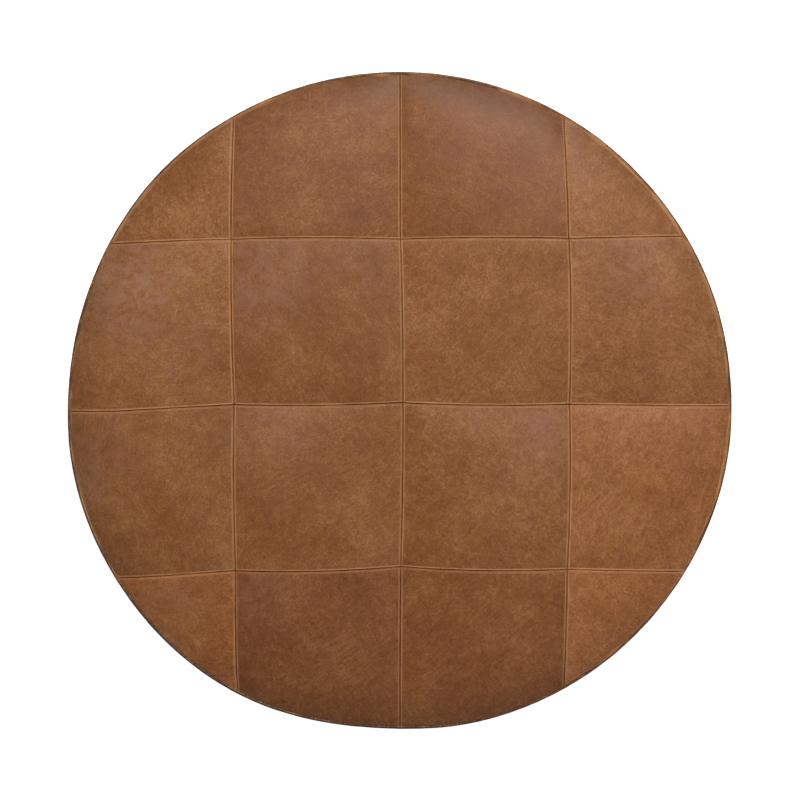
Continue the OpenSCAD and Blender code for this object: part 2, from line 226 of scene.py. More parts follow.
def simulate_top():
    """Heights of the leather top over a square plan.

    They come from a cloth that is held at its seams and rim and pressed up from below.
    """
    line = np.arange(-CLOTH_HALF, CLOTH_HALF + 1) * CLOTH_STEP
    u, v = np.meshgrid(line, line, indexing="ij")
    x, y = u, v
    for _ in range(4):
        x, y = u + shift(UP_SEAMS, u, y), v + shift(CROSS_SEAMS, v, x)
    # Points just outside are drawn in to the rim
    r = np.hypot(x, y)
    inside = r < ROLL_R + CLOTH_STEP * 0.7
    index = np.full(x.shape, -1)
    index[inside] = np.arange(inside.sum())
    inward = np.minimum(1, ROLL_R / np.maximum(r, 1))
    x, y, u, v = (x * inward)[inside], (y * inward)[inside], u[inside], v[inside]
    faces = np.stack([index[:-1, :-1], index[1:, :-1], index[1:, 1:], index[:-1, 1:]], -1).reshape(-1, 4)
    mesh = bpy.data.meshes.new("cover")
    mesh.from_pydata((np.stack([x, y, x * 0], -1) * MM).tolist(), [], faces[(faces >= 0).all(1)].tolist())
    cover = bpy.data.objects.new("cover", mesh)
    bpy.context.scene.collection.objects.link(cover)

    on_seam = [(np.abs(t - k * PITCH) < 1) for t in (u, v) for k in (-1, 0, 1)]
    held = np.any(on_seam, axis=0) | (np.hypot(x, y) > ROLL_R - 7)
    cover.vertex_groups.new(name="held").add(np.nonzero(held)[0].tolist(), 1.0, "REPLACE")
    # Each patch is cut a little fuller or tighter
    slack = cover.vertex_groups.new(name="slack")
    fullness = 0.5 + 0.5 * lattice(np.floor(u / PITCH) * 7 + np.floor(v / PITCH) * 3, 0, 17)
    for level in np.unique(fullness):
        slack.add(np.nonzero(fullness == level)[0].tolist(), float(level), "REPLACE")

    cloth = cover.modifiers.new("stuffing", "CLOTH")
    settings = cloth.settings
    settings.quality, settings.mass, settings.air_damping = 5, 0.3, 4
    settings.tension_stiffness = settings.compression_stiffness = 40
    settings.shear_stiffness, settings.bending_stiffness = 10, 12
    settings.vertex_group_mass, settings.vertex_group_shrink = "held", "slack"
    settings.shrink_min, settings.shrink_max = -0.0012, -0.0028
    settings.use_pressure, settings.uniform_pressure_force = True, 14
    settings.effector_weights.gravity = 0
    cloth.collision_settings.use_collision = False
    cloth.collision_settings.use_self_collision = False
    cloth.point_cache.frame_start, cloth.point_cache.frame_end = 1, CLOTH_FRAMES
    for step in range(1, CLOTH_FRAMES + 1):
        bpy.context.scene.frame_set(step)
    risen = cover.evaluated_get(bpy.context.evaluated_depsgraph_get()).data
    places = np.empty(len(risen.vertices) * 3)
    risen.vertices.foreach_get("co", places)
    heights = np.zeros(inside.shape)
    heights[inside] = places[2::3] / MM
    bpy.data.objects.remove(cover)
    bpy.data.meshes.remove(mesh)
    bpy.context.scene.frame_set(1)
    return heights


HEIGHTS = simulate_top()


def blend_weights(f):
    """Shares of four neighbours in a smooth curve between the middle two."""
    return ((1 - f) ** 3 / 6, (3 * f**3 - 6 * f**2 + 4) / 6, (-3 * f**3 + 3 * f**2 + 3 * f + 1) / 6, f**3 / 6)


def lift(x, y):
    """Rise of the stuffed leather over its seams, in mm."""
    u, v = x, y
    for _ in range(4):
        u, v = x - shift(UP_SEAMS, u, y), y - shift(CROSS_SEAMS, v, x)
    s, t = u / CLOTH_STEP + CLOTH_HALF, v / CLOTH_STEP + CLOTH_HALF
    i, j = np.floor(s).astype(int), np.floor(t).astype(int)
    inside = lambda k: np.clip(k, 0, 2 * CLOTH_HALF)
    rise = 0
    for a, share_u in enumerate(blend_weights(s - i)):
        for b, share_v in enumerate(blend_weights(t - j)):
            rise = rise + share_u * share_v * HEIGHTS[inside(i + a - 1), inside(j + b - 1)]
    return rise * rim_rise(np.hypot(x, y), 6)


def top_height(x, y):
    """The leather top, with its pillows, seams, puckers and soft unevenness."""
    r = np.hypot(x, y)
    edge = rim_rise(r, 6)
    near = np.full_like(r, 1e3)
    z = plain_top(r) - 2.6 * edge + lift(x, y)
    wrinkle = np.zeros_like(r)
    for d, along, seed in seam_distances(x, y):
        near = np.minimum(near, d)
        wrinkle = wrinkle + puckers(d, along, seed)
    z = z + 0.9 * edge * (1 - np.exp(-near / 5)) + seam_profile(near) * (0.3 + 0.7 * edge)
    for cx, cy in CROSSINGS:
        z = z - 1.3 * bell(np.hypot(x - cx, y - cy), 11)
    rim_fold = noise(np.arctan2(y, x) * 34, r / 60, 31) * 0.6 * bell(ROLL_R - r, 26)
    lumps = noise(x / 95, y / 95, 4) * 0.9 + noise(x / 42, y / 42, 5) * 0.28
    return z + (wrinkle * smooth(0.2, 1.2, near) + lumps) * edge + rim_fold * edge


# ---- Mesh making ----


def make_object(name, points, faces, material, attributes=None, sharp=50, node=None, body="pouf"):
    """A mesh from points in mm and lists of faces, each list with one number of corners.

    It rides on a body in place of a CAD node, if one is named.
    """
    mesh = bpy.data.meshes.new(name)
    points = np.asarray(points, np.float64).reshape(-1, 3) * MM
    mesh.vertices.add(len(points))
    mesh.vertices.foreach_set("co", points.astype(np.float32).ravel())
    sizes = np.concatenate([np.full(len(f), f.shape[1], np.int32) for f in faces])
    mesh.loops.add(int(sizes.sum()))
    corners = np.concatenate([f.ravel() for f in faces]).astype(np.int32)
    mesh.loops.foreach_set("vertex_index", corners)
    mesh.polygons.add(len(sizes))
    starts = np.concatenate([[0], np.cumsum(sizes)[:-1]]).astype(np.int32)
    mesh.polygons.foreach_set("loop_start", starts)
    mesh.update(calc_edges=True)
    mesh.validate()
    for key, values in (attributes or {}).items():
        values = np.asarray(values, np.float32)
        wide = values.ndim > 1 and values.shape[-1] == 3
        layer = mesh.attributes.new(key, "FLOAT_VECTOR" if wide else "FLOAT", "POINT")
        layer.data.foreach_set("vector" if wide else "value", values.ravel())
    mesh.shade_smooth()
    mesh.set_sharp_from_angle(angle=math.radians(sharp))
    mesh.materials.append(material)
    obj = bpy.data.objects.new(name, mesh)
    bpy.context.scene.collection.objects.link(obj)
    if node:
        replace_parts(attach(obj, body), node)
    return obj


def quads(n, m, wrap_u=False, wrap_v=False, start=0, flip=False):
    """Faces of an n by m grid of points."""
    i = np.arange(n if wrap_u else n - 1)[:, None]
    j = np.arange(m if wrap_v else m - 1)[None, :]
    i2, j2 = (i + 1) % n, (j + 1) % m
    i, j, i2, j2 = np.broadcast_arrays(i, j, i2, j2)
    f = np.stack([i * m + j, i2 * m + j, i2 * m + j2, i * m + j2], -1).reshape(-1, 4) + start
    return f[:, ::-1] if flip else f


def capped_tube(rings, around, flip=False):
    """Faces of a tube of rings of points, closed by a face at each end."""
    ends = [np.arange(around)[None, :], np.arange((rings - 1) * around, rings * around)[None, ::-1]]
    return [quads(rings, around, wrap_v=True, flip=flip)] + [f[:, ::-1] if flip else f for f in ends]


def copies(faces, count, size):
    """The faces of one shape of size points, for count of them one after another."""
    shift = (np.arange(count) * size)[:, None, None]
    return [(f[None] + shift).reshape(-1, f.shape[1]) for f in faces]


def slab(name, node, top, bottom, material, attributes):
    """A closed sheet between two grids of points. top faces out when u cross v does."""
    n, m = top.shape[:2]
    loop = [(i, 0) for i in range(n)] + [(n - 1, j) for j in range(1, m)]
    loop += [(i, m - 1) for i in range(n - 2, -1, -1)] + [(0, j) for j in range(m - 2, 0, -1)]
    ring = np.array([i * m + j for i, j in loop])
    nxt = np.roll(ring, -1)
    edge = np.stack([ring, ring + n * m, nxt + n * m, nxt], -1)
    faces = [quads(n, m), quads(n, m, start=n * m, flip=True), edge]
    double = {k: np.concatenate([v.reshape(n * m, -1)] * 2).squeeze() for k, v in attributes.items()}
    points = np.concatenate([top.reshape(-1, 3), bottom.reshape(-1, 3)])
    return make_object(name, points, faces, material, double, node=node)


def ring_sweep(name, node, rings, material, attributes, closed=True, **more):
    """Skins rings of points (steps, points round, 3); closed joins the last ring to the first."""
    n, m = rings.shape[:2]
    faces = [quads(n, m, wrap_u=True, wrap_v=True)] if closed else capped_tube(n, m)
    flat = {k: v.reshape(n * m, -1).squeeze() for k, v in attributes.items()}
    return make_object(name, rings, faces, material, flat, node=node, **more)


def polar(r, degrees, z):
    """Points from their radius, angle and height."""
    r, a, z = np.broadcast_arrays(np.asarray(r, float), np.radians(degrees), np.asarray(z, float))
    return np.stack([r * np.cos(a), r * np.sin(a), z], -1)


def between(start, end, ratio):
    return start + (end - start) * ratio


def spaced(length, start, end, step):
    """Places from 0 to 1 along a length: at set distances from both ends, then about a step apart."""
    start = np.asarray([d for d in start if d < length * 0.45])
    end = np.asarray([d for d in end if d < length * 0.45])
    count = max(2, int(round((length - start[-1] - end[-1]) / step)) + 1)
    middle = np.linspace(start[-1], length - end[-1], count)[1:-1]
    return np.concatenate([start, middle, length - end[::-1]]) / length


def lengths_along(points):
    """How far along a line each of its points is."""
    return np.concatenate([[0], np.cumsum(np.linalg.norm(np.diff(points, axis=0), axis=1))])


SEAM_ROWS = (0, 0.2, 0.45, 0.75, 1.1, 1.5, 1.9, 2.25, 2.6, 2.95, 3.5, 4.4, 5.8, 8, 11, 15)
RIM_ROWS = (0, 1, 2.2, 3.8, 6, 8.6, 12, 16)


def hide_place(u, v, turn, index):
    """Where a piece was cut from the hide, in metres: its own coordinates turned and moved."""
    a = math.radians(turn)
    x, y = u * math.cos(a) - v * math.sin(a), u * math.sin(a) + v * math.cos(a)
    return np.stack([x, y, np.full_like(x, index * 370.0)], -1) * MM


def leather_look(hide, seam, brightness=1.0, warmth=1.0, shade=1.0, bloom=0.0, **more):
    """The attributes that the leather reads. Warmth above 1 is redder; shade also darkens."""
    shape = hide.shape[:-1]
    tint = np.array([brightness * warmth, brightness, brightness / warmth])
    tone = tint * np.broadcast_to(shade, shape)[..., None]
    return {
        "hide": hide,
        "seam": np.broadcast_to(seam, shape),
        "bloom": np.broadcast_to(bloom, shape),
        "tone": tone,
        **more,
    }


# ---- Materials ----


class Nodes:
    """A short way to build a shader's nodes."""

    def __init__(self, name):
        self.material = bpy.data.materials.new(name)
        self.material.use_nodes = True
        self.tree = self.material.node_tree
        self.shader = self.tree.nodes["Principled BSDF"]

    def add(self, kind, inputs=None, out=0, **settings):
        n = self.tree.nodes.new("ShaderNode" + kind)
        for key, value in settings.items():
            setattr(n, key, value)
        for key, value in (inputs or {}).items():
            self.put(n.inputs[key], value)
        return n.outputs[out]

    def put(self, socket, value):
        """Links a socket, or sets it. A colour may leave out its alpha."""
        if isinstance(value, bpy.types.NodeSocket):
            self.tree.links.new(value, socket)
        elif socket.type == "RGBA" and len(value) == 3:
            socket.default_value = (*value, 1)
        else:
            socket.default_value = value

    def shade(self, **inputs):
        for key, value in inputs.items():
            self.put(self.shader.inputs[key.replace("_", " ")], value)

    def attribute(self, name, out=2):
        return self.add("Attribute", out=out, attribute_name=name)

    def math(self, operation, a, b=0.0, clamp=False):
        return self.add("Math", {0: a, 1: b}, operation=operation, use_clamp=clamp)

    def times(self, a, b):
        return self.math("MULTIPLY", a, b)

    def total(self, *parts):
        """The sum of values, each with its weight."""
        products = [self.times(value, weight) for value, weight in parts]
        result = products[0]
        for product in products[1:]:
            result = self.math("ADD", result, product)
        return result

    def remap(self, value, a, b, low=0.0, high=1.0):
        inputs = {"Value": value, "From Min": a, "From Max": b, "To Min": low, "To Max": high}
        return self.add("MapRange", inputs, interpolation_type="SMOOTHSTEP")

    def line(self, value, wide):
        """1 where a value passes 0.5, down to 0 at a distance from it."""
        off = self.math("ABSOLUTE", self.math("SUBTRACT", value, 0.5))
        return self.remap(off, 0.0, wide, 1, 0)

    def mix(self, amount, a, b, blend="MIX"):
        return self.add("Mix", {0: amount, 6: a, 7: b}, out=2, data_type="RGBA", blend_type=blend)

    def ramp(self, value, *stops):
        n = self.tree.nodes.new("ShaderNodeValToRGB")
        while len(n.color_ramp.elements) < len(stops):
            n.color_ramp.elements.new(0.5)
        for element, (at, tint) in zip(n.color_ramp.elements, stops):
            element.position, element.color = at, (*tint, 1)
        self.put(n.inputs[0], value)
        return n.outputs[0]

    def noise(self, where, scale, detail=2.0, rough=0.5, warp=0.0):
        inputs = {"Vector": where, "Scale": scale, "Detail": detail, "Roughness": rough, "Distortion": warp}
        return self.add("TexNoise", inputs)

    def cells(self, where, scale, **settings):
        return self.add("TexVoronoi", {"Vector": where, "Scale": scale}, **settings)

    def stretch(self, where, turn, scale):
        inputs = {"Vector": where, "Rotation": (0, 0, math.radians(turn)), "Scale": scale}
        return self.add("Mapping", inputs)

    def bump(self, height, distance, strength=1.0, normal=None):
        inputs = {"Strength": strength, "Distance": distance, "Height": height}
        if normal is not None:
            inputs["Normal"] = normal
        return self.add("Bump", inputs)


def colour(r, g, b):
    """A colour given as screen values from 0 to 255, in linear light."""
    linear = lambda v: v / 12.92 if v <= 0.04045 else ((v + 0.055) / 1.055) ** 2.4
    return tuple(linear(v / 255) for v in (r, g, b))


def scaled(tint, *by):
    """A colour times one number, or times one for each channel."""
    return tuple(v * k for v, k in zip(tint, by * 3))


# Turn of each set of scratches, where it is in the noise, and how wide its lines are
SCRATCHES = ((38, 0.0, 0.03), (-52, 3.1, 0.022), (12, 7.7, 0.02), (80, 5.3, 0.018))


def leather(name, dark, mid, light, bloom, roughness=0.56):
    """Mottled pull-up leather: clouds, mottle, fine grain, scratches, rubbed seams and a pale bloom.

    It reads the mesh's own attributes: hide (place on the hide, in metres), seam (mm from a seam),
    tone (brightness and warmth), bloom, and wrinkle (metres along and across the wrinkles, strength).
    """
    n = Nodes(name)
    dark, mid, light, bloom = (colour(*tint) for tint in (dark, mid, light, bloom))
    hide, seam = n.attribute("hide", out=1), n.attribute("seam")
    mottle = n.noise(hide, 85, 6, 0.68, 0.6)
    fine = n.math("SUBTRACT", n.noise(hide, 340, 5, 0.8), 0.5)
    mixed = n.total((n.noise(hide, 13, 3, 0.55, 0.3), 0.3), (mottle, 0.4), (fine, 0.76))
    base = n.ramp(n.math("ADD", mixed, 0.15), (0.34, dark), (0.52, mid), (0.68, light))
    # The dye is pinker here and more olive there
    patchy = n.noise(hide, 34, 4, 0.62, 0.5)
    dye = n.ramp(patchy, (0.34, (1.0, 1.005, 0.87)), (0.64, (1.03, 0.985, 1.14)))
    base = n.mix(1.0, base, dye, "MULTIPLY")

    # Scratches: thin level lines of stretched noise, in patches of the hide
    marks = 0.0
    for turn, seed, wide in SCRATCHES:
        place = n.add("VectorMath", {0: hide, 1: (seed, seed * 0.7, 0)}, operation="ADD")
        line = n.line(n.noise(n.stretch(place, turn, (16, 190, 1)), 1, 1.5, 0.4, 0.25), wide)
        where = n.remap(n.noise(place, 11, 2, 0.5), 0.5, 0.72)
        marks = n.math("MAXIMUM", marks, n.times(line, where))
    # The hide's own wrinkles, side by side
    run = n.attribute("wrinkle", out=1)
    line = n.line(n.noise(n.stretch(run, 0, (11, 125, 0)), 1, 2.5, 0.5, 0.5), 0.045)
    marks = n.math("MAXIMUM", marks, n.times(line, n.add("SeparateXYZ", {0: run}, out=2)))
    base = n.mix(n.times(marks, 0.5), base, light)
    # The pale bloom is broken up by the mottle
    veil = n.times(n.attribute("bloom"), n.remap(n.noise(hide, 40, 5, 0.7, 0.8), 0.32, 0.66))
    base = n.mix(n.math("MULTIPLY", veil, 0.6, clamp=True), base, bloom)

    # Leather is pale beside a seam, partly wear and partly a painted highlight on the seam's rolled edges,
    # and warmer, with less blue, down in it
    rubbed_and_highlight = n.times(n.remap(seam, 0.7, 1.4), n.remap(seam, 2.6, 3.9, 1, 0))
    pale_breakup = n.remap(n.noise(hide, 17, 4, 0.65), 0.36, 0.6, 0.4, 1.0)
    base = n.mix(n.times(n.times(rubbed_and_highlight, pale_breakup), 0.85), base, scaled(light, 1.24, 1.22, 1.2))
    base = n.mix(n.remap(seam, 0.45, 1.0, 1, 0), base, (1.2, 1.02, 0.6), "MULTIPLY")
    base = n.mix(1.0, base, n.attribute("tone", out=1), "MULTIPLY")

    grain = n.cells(hide, 1150, feature="SMOOTH_F1", distance="EUCLIDEAN")
    creases = n.cells(n.stretch(hide, 25, (1, 0.55, 1)), 210, feature="DISTANCE_TO_EDGE")
    small = n.bump(n.total((grain, 0.5), (mottle, 0.7), (marks, -0.35)), 0.00035, 0.55)
    normal = n.bump(n.remap(creases, 0.0, 0.09), 0.00018, 0.3, small)
    rough = n.remap(mixed, 0.3, 0.7, roughness - 0.09, roughness + 0.09)
    rough = n.math("ADD", rough, n.times(marks, 0.12))
    n.shade(Base_Color=base, Roughness=rough, Normal=normal, Specular_IOR_Level=0.25)
    n.shade(Sheen_Weight=0.03, Sheen_Roughness=0.5)
    return n.material


LEATHER_TOP = leather("leather_top", (112, 65, 30), (138, 88, 46), (164, 118, 77), (156, 113, 91))
LEATHER_SIDE = leather("leather_side", (108, 62, 29), (132, 84, 45), (160, 111, 70), (148, 106, 85))
# The piping's light colour is much paler than its dark and mid: it gives the painted highlight along the
# piping's crest
LEATHER_PIPING = leather("leather_piping", (72, 43, 21), (96, 61, 33), (180, 132, 89), (140, 102, 80), 0.5)


def thread(name, tone):
    """Bonded thread: a twist of fine plies across each stitch."""
    n = Nodes(name)
    where = n.add("TexCoord", out=3)
    wave = {"Vector": n.stretch(where, 35, (1, 1, 1)), "Scale": 900, "Distortion": 1.5}
    plies = n.add("TexWave", wave)
    shade = n.ramp(n.noise(where, 260, 3), (0.3, scaled(tone, 0.8)), (0.7, scaled(tone, 1.15)))
    n.shade(Base_Color=n.mix(n.times(plies, 0.35), shade, scaled(tone, 0.55)))
    n.shade(Normal=n.bump(plies, 0.0001, 0.5), Roughness=0.55, Sheen_Weight=0.2)
    return n.material


def cloth(name, tone, pitch_mm, fuzz=0.3, flecks=0.0):
    """A plain weave of the given pitch, read from the piece's hide attribute."""
    n = Nodes(name)
    where = n.attribute("hide", out=1)
    scale = 1000 / pitch_mm / 2 / math.pi
    wave = {"Vector": where, "Scale": scale, "Distortion": 0.6, "Detail Scale": 3}
    warp, weft = (n.add("TexWave", wave, out=1, bands_direction=way) for way in "XY")
    weave = n.math("MAXIMUM", warp, weft)
    slub = n.noise(n.stretch(where, 0, (1, 14, 1)), 60, 3, 0.6)
    mixed = n.total((slub, 0.4), (n.noise(where, 22, 4, 0.6), 0.6))
    pale = [min(1, v) for v in scaled(tone, 1.12)]
    base = n.ramp(mixed, (0.35, scaled(tone, 0.82)), (0.65, pale))
    # Darker between the threads: painted shade in the weave's gaps
    base = n.mix(n.remap(weave, 0.2, 0.9, 0.4, 0.0), base, scaled(tone, 0.6))
    if flecks:
        seeds = n.remap(n.noise(where, 300, 1), 0.7, 0.76)
        base = n.mix(n.times(seeds, flecks), base, colour(120, 96, 66))
    n.shade(Base_Color=base, Normal=n.bump(weave, 0.0002, 0.6))
    n.shade(Roughness=n.remap(slub, 0.2, 0.8, 0.82, 0.95), Sheen_Weight=fuzz)
    return n.material


def fibre(name):
    """Polyester wadding: pale, matted strands."""
    n = Nodes(name)
    where = n.attribute("hide", out=1)
    strands = n.noise(n.stretch(where, 30, (60, 500, 60)), 1, 4, 0.7, 2.5)
    other = n.noise(n.stretch(where, -40, (500, 70, 60)), 1, 4, 0.7, 2.5)
    mat = n.math("MAXIMUM", strands, other)
    clumps = n.noise(where, 35, 3, 0.5)
    mixed = n.total((mat, 0.6), (clumps, 0.4))
    base = n.ramp(mixed, (0.35, colour(206, 204, 198)), (0.65, colour(243, 243, 240)))
    n.shade(Base_Color=base, Normal=n.bump(mat, 0.0012, 0.6))
    n.shade(Roughness=n.remap(clumps, 0.2, 0.8, 0.88, 1.0), Sheen_Weight=0.5)
    return n.material


def foam(name, tone, cell):
    """Open-cell foam: fine pits over a surface yellowed in places."""
    n = Nodes(name)
    where = n.attribute("hide", out=1)
    pits, large = (n.cells(where, cell * k, feature="F1") for k in (1, 0.35))
    aged = n.noise(where, 9, 4, 0.6)
    base = n.ramp(aged, (0.3, scaled(tone, 0.86)), (0.7, tone))
    # Darker in the pits: painted shade
    base = n.mix(n.remap(pits, 0.0, 0.45, 0.35, 0), base, scaled(tone, 0.55))
    height = n.math("ADD", pits, n.times(large, 0.5))
    n.shade(Base_Color=base, Normal=n.bump(height, 0.0008, 0.7))
    n.shade(Roughness=n.remap(aged, 0.2, 0.8, 0.86, 0.97))
    return n.material


def brass(name):
    """Aged zip brass: dulled in patches, with fine scratches."""
    n = Nodes(name)
    where = n.add("TexCoord", out=3)
    tarnish = n.noise(where, 240, 5, 0.65, 0.4)
    fine = n.noise(n.stretch(where, 20, (300, 3000, 300)), 1, 3, 0.6)
    tints = (0.32, colour(112, 86, 48)), (0.55, colour(176, 142, 84)), (0.75, colour(206, 174, 112))
    rough = n.math("ADD", n.remap(tarnish, 0.3, 0.7, 0.46, 0.26), n.times(fine, 0.1))
    n.shade(Base_Color=n.ramp(tarnish, *tints), Metallic=1.0, Roughness=rough)
    n.shade(Normal=n.bump(fine, 0.00004, 0.5))
    return n.material


CALICO = cloth("calico", colour(222, 213, 190), 0.8, flecks=0.7)
CANVAS = cloth("base_canvas", colour(78, 62, 50), 1.3)
TAPE = cloth("zip_tape", colour(66, 44, 30), 0.6, 0.1)
CORD = cloth("cotton_cord", colour(226, 218, 200), 0.9, 0.5)
FIBRE = fibre("fibre_wadding")
FOAM_SOFT = foam("foam_soft", colour(240, 232, 200), 900)
FOAM_FIRM = foam("foam_firm", colour(226, 210, 160), 1300)
BRASS = brass("zip_brass")
THREAD = thread("thread_tan", colour(178, 136, 94))

# ---- Camera, lights and floor, before the object ----

WORLD_LIGHT, WORLD_TINT = 0.32, (1.0, 0.985, 0.965)
FLOOR_GLOW, FLOOR_Z, FLOOR_SIZE = 0.82, -0.4, 60000
WALL_R, WALL_DEEP, WALL_HIGH = 22000, 4000, 14000
CAMERA_HEIGHT, LIGHTS_AIM = 3.217, (0, 0, 0.3)
# Name, place in metres, size, power, colour
LIGHTS = (
    ("key", (0.6, 2.1, 2.9), 1.5, 92.5, (1.0, 0.985, 0.96)),
    ("fill", (1.6, -1.4, 3.0), 2.4, 9, (1.0, 0.99, 0.98)),
)


def build_stage():
    scene = bpy.context.scene
    scene.view_settings.view_transform = "Standard"
    scene.view_settings.look = "None"
    scene.world = bpy.data.worlds.new("studio")
    scene.world.use_nodes = True
    sky = scene.world.node_tree.nodes["Background"].inputs
    sky[0].default_value, sky[1].default_value = (*WORLD_TINT, 1), WORLD_LIGHT

    camera = bpy.data.objects.new("camera", bpy.data.cameras.new("camera"))
    camera.data.lens, camera.data.sensor_width = 85, 36
    camera.location = (0, 0, CAMERA_HEIGHT)
    scene.collection.objects.link(camera)
    scene.camera = camera

    for name, place, size, power, tint in LIGHTS:
        data = bpy.data.lights.new(name, "AREA")
        data.shape, data.size, data.energy, data.color = "DISK", size, power, tint
        lamp = bpy.data.objects.new(name, data)
        lamp.location = place
        lamp.rotation_mode = "QUATERNION"
        lamp.rotation_quaternion = (Vector(LIGHTS_AIM) - Vector(place)).to_track_quat("-Z", "Y")
        scene.collection.objects.link(lamp)

    n = Nodes("pale_floor")
    cloudy = n.noise(n.add("TexCoord", out=3), 1.5, 3)
    tint = n.ramp(cloudy, (0.3, (0.80, 0.80, 0.80)), (0.7, (0.83, 0.83, 0.83)))
    n.shade(Base_Color=tint, Roughness=0.9, Emission_Color=(1, 1, 1), Emission_Strength=FLOOR_GLOW)
    line = np.linspace(-FLOOR_SIZE / 2, FLOOR_SIZE / 2, 9)
    x, y = np.meshgrid(line, line, indexing="ij")
    floor = make_object("floor", np.stack([x, y, np.full_like(x, FLOOR_Z)], -1), [quads(9, 9)], n.material)
    # Far behind the floor a pale wall curves up all round
    a, s = np.meshgrid(np.linspace(0, 360, 96, endpoint=False), np.linspace(0, 1, 12), indexing="ij")
    curve = polar(WALL_R + WALL_DEEP * s, a, FLOOR_Z + WALL_HIGH * s * s)
    backdrop = make_object("wall", curve, [quads(96, 12, wrap_u=True)], n.material)
    backdrop.visible_glossy = False
    for far in (floor, backdrop):
        # Neither throws its light back up the side
        far.visible_diffuse = False


build_stage()

# ---- Top patches ----


def corner_of(u, c):
    """A patch's corner, and whether it is on the rim.

    It is where two seams cross, or where a seam or the middle of a corner patch meets the rim.
    """
    inside_u, inside_c = 0 <= u <= 2, 0 <= c <= 2
    right, back = (1 if u > 2 else -1), (1 if c > 2 else -1)
    if inside_u and inside_c:
        return crossing(u, c), False
    if inside_u:
        x = float(up_x(u, back * ROLL_R))
        return (x, back * math.sqrt(TOP_EDGE_R**2 - x * x)), True
    if inside_c:
        y = float(cross_y(c, right * ROLL_R))
        return (right * math.sqrt(TOP_EDGE_R**2 - y * y), y), True
    a = math.atan2(back, right)
    return (TOP_EDGE_R * math.cos(a), TOP_EDGE_R * math.sin(a)), True


def patch_side(p, q, on_rim, seam, axis, gap, t):
    """Points along one side of a patch, from corner p to corner q."""
    if on_rim:
        a, b = math.atan2(p[1], p[0]), math.atan2(q[1], q[0])
        b += 2 * math.pi * round((a - b) / (2 * math.pi))
        a = between(a, b, t)
        return np.stack([TOP_EDGE_R * np.cos(a), TOP_EDGE_R * np.sin(a)], -1)
    if axis == "up":
        y = between(p[1], q[1], t)
        return np.stack([up_x(seam, y) + gap, y], -1)
    x = between(p[0], q[0], t)
    return np.stack([x, cross_y(seam, x) + gap], -1)


def patch_grid(col, row):
    """Plan of a patch: a grid of points between its four sides, close together at the seams."""
    corners, on_rim = [], []
    for right, back in ((0, 0), (1, 0), (0, 1), (1, 1)):
        (x, y), rim = corner_of(col - 1 + right, row - 1 + back)
        inward = 0 if rim else HALF_GAP
        corners.append((x + inward * (1 - 2 * right), y + inward * (1 - 2 * back)))
        on_rim.append(rim)
    fl, fr, bl, br = corners
    rim_front, rim_back = on_rim[0] and on_rim[1], on_rim[2] and on_rim[3]
    rim_left, rim_right = on_rim[0] and on_rim[2], on_rim[1] and on_rim[3]
    wide = (math.dist(fl, fr) + math.dist(bl, br)) / 2
    high = (math.dist(fl, bl) + math.dist(fr, br)) / 2
    rows = lambda rim: RIM_ROWS if rim else SEAM_ROWS
    s = spaced(wide, rows(rim_left), rows(rim_right), 5.5)
    t = spaced(high, rows(rim_front), rows(rim_back), 5.5)
    front = patch_side(fl, fr, rim_front, row - 1, "cross", HALF_GAP, s)
    back = patch_side(bl, br, rim_back, row, "cross", -HALF_GAP, s)
    left = patch_side(fl, bl, rim_left, col - 1, "up", HALF_GAP, t)
    right = patch_side(fr, br, rim_right, col, "up", -HALF_GAP, t)
    # Two sides that meet share their corner
    ends = []
    for across, j in ((front, 0), (back, -1)):
        for along, i in ((left, 0), (right, -1)):
            across[i] = along[j] = (across[i] + along[j]) / 2
            ends.append(across[i].copy())
    s, t = s[:, None, None], t[None, :, None]
    plan = (1 - t) * front[:, None] + t * back[:, None] + (1 - s) * left[None] + s * right[None]
    plan -= (1 - s) * (1 - t) * ends[0] + s * (1 - t) * ends[1] + (1 - s) * t * ends[2] + s * t * ends[3]
    return plan[..., 0], plan[..., 1]


# Each patch's brightness and warmth: partly its own part of the hide, partly painted shade, as on a2 and a3
# at the back, darkened against the key light's highlight there
PATCH_TONES_AND_SHADE = {
    "a1": (1.05, 0.98), "a2": (0.8, 1.06), "a3": (0.755, 1.09), "a4": (1.0, 1.0),
    "b1": (1.1, 0.96), "b2": (0.875, 1.01), "b3": (0.97, 1.0), "b4": (0.98, 1.0),
    "c1": (0.93, 1.0), "c2": (0.89, 1.03), "c3": (0.9, 1.03), "c4": (1.06, 1.03),
    "d1": (1.11, 1.05), "d2": (0.7, 1.12), "d3": (0.79, 1.09), "d4": (1.14, 1.04),
}  # fmt: skip

# Pale bloom on the hide: patch, place in it from its front left corner (0 to 1), reach in mm, strength
BLOOMS = (
    ("b1", 0.36, 0.72, 85, 1.1), ("b2", 0.2, 0.76, 75, 1.0), ("b4", 0.45, 0.86, 65, 0.9),
    ("b1", 0.8, 0.3, 50, 0.5), ("c1", 0.12, 0.7, 60, 0.7), ("c2", 0.25, 0.85, 60, 0.6),
    ("d2", 0.16, 0.84, 45, 0.8), ("a3", 0.25, 0.5, 45, 0.4), ("c3", 0.85, 0.8, 60, 0.7),
    ("b2", 0.75, 0.85, 45, 0.5), ("c4", 0.8, 0.85, 50, 0.4), ("d1", 0.5, 0.8, 50, 0.5),
)  # fmt: skip

# Where a patch shows the hide's wrinkles: place in it as above, reach in mm, direction, strength
WRINKLES = {
    "d2": (0.64, 0.45, 75, 34, 1.0), "c4": (0.24, 0.36, 60, 50, 0.8), "d3": (0.72, 0.62, 50, 40, 0.7),
    "b4": (0.7, 0.3, 50, -28, 0.6), "c3": (0.45, 0.4, 50, 46, 0.5), "a2": (0.4, 0.45, 45, 60, 0.4),
    "b1": (0.35, 0.3, 50, -35, 0.4), "c2": (0.7, 0.6, 45, 25, 0.4), "b3": (0.6, 0.35, 50, 42, 0.5),
}  # fmt: skip
NO_WRINKLES = (0.5, 0.5, 50, 0, 0)
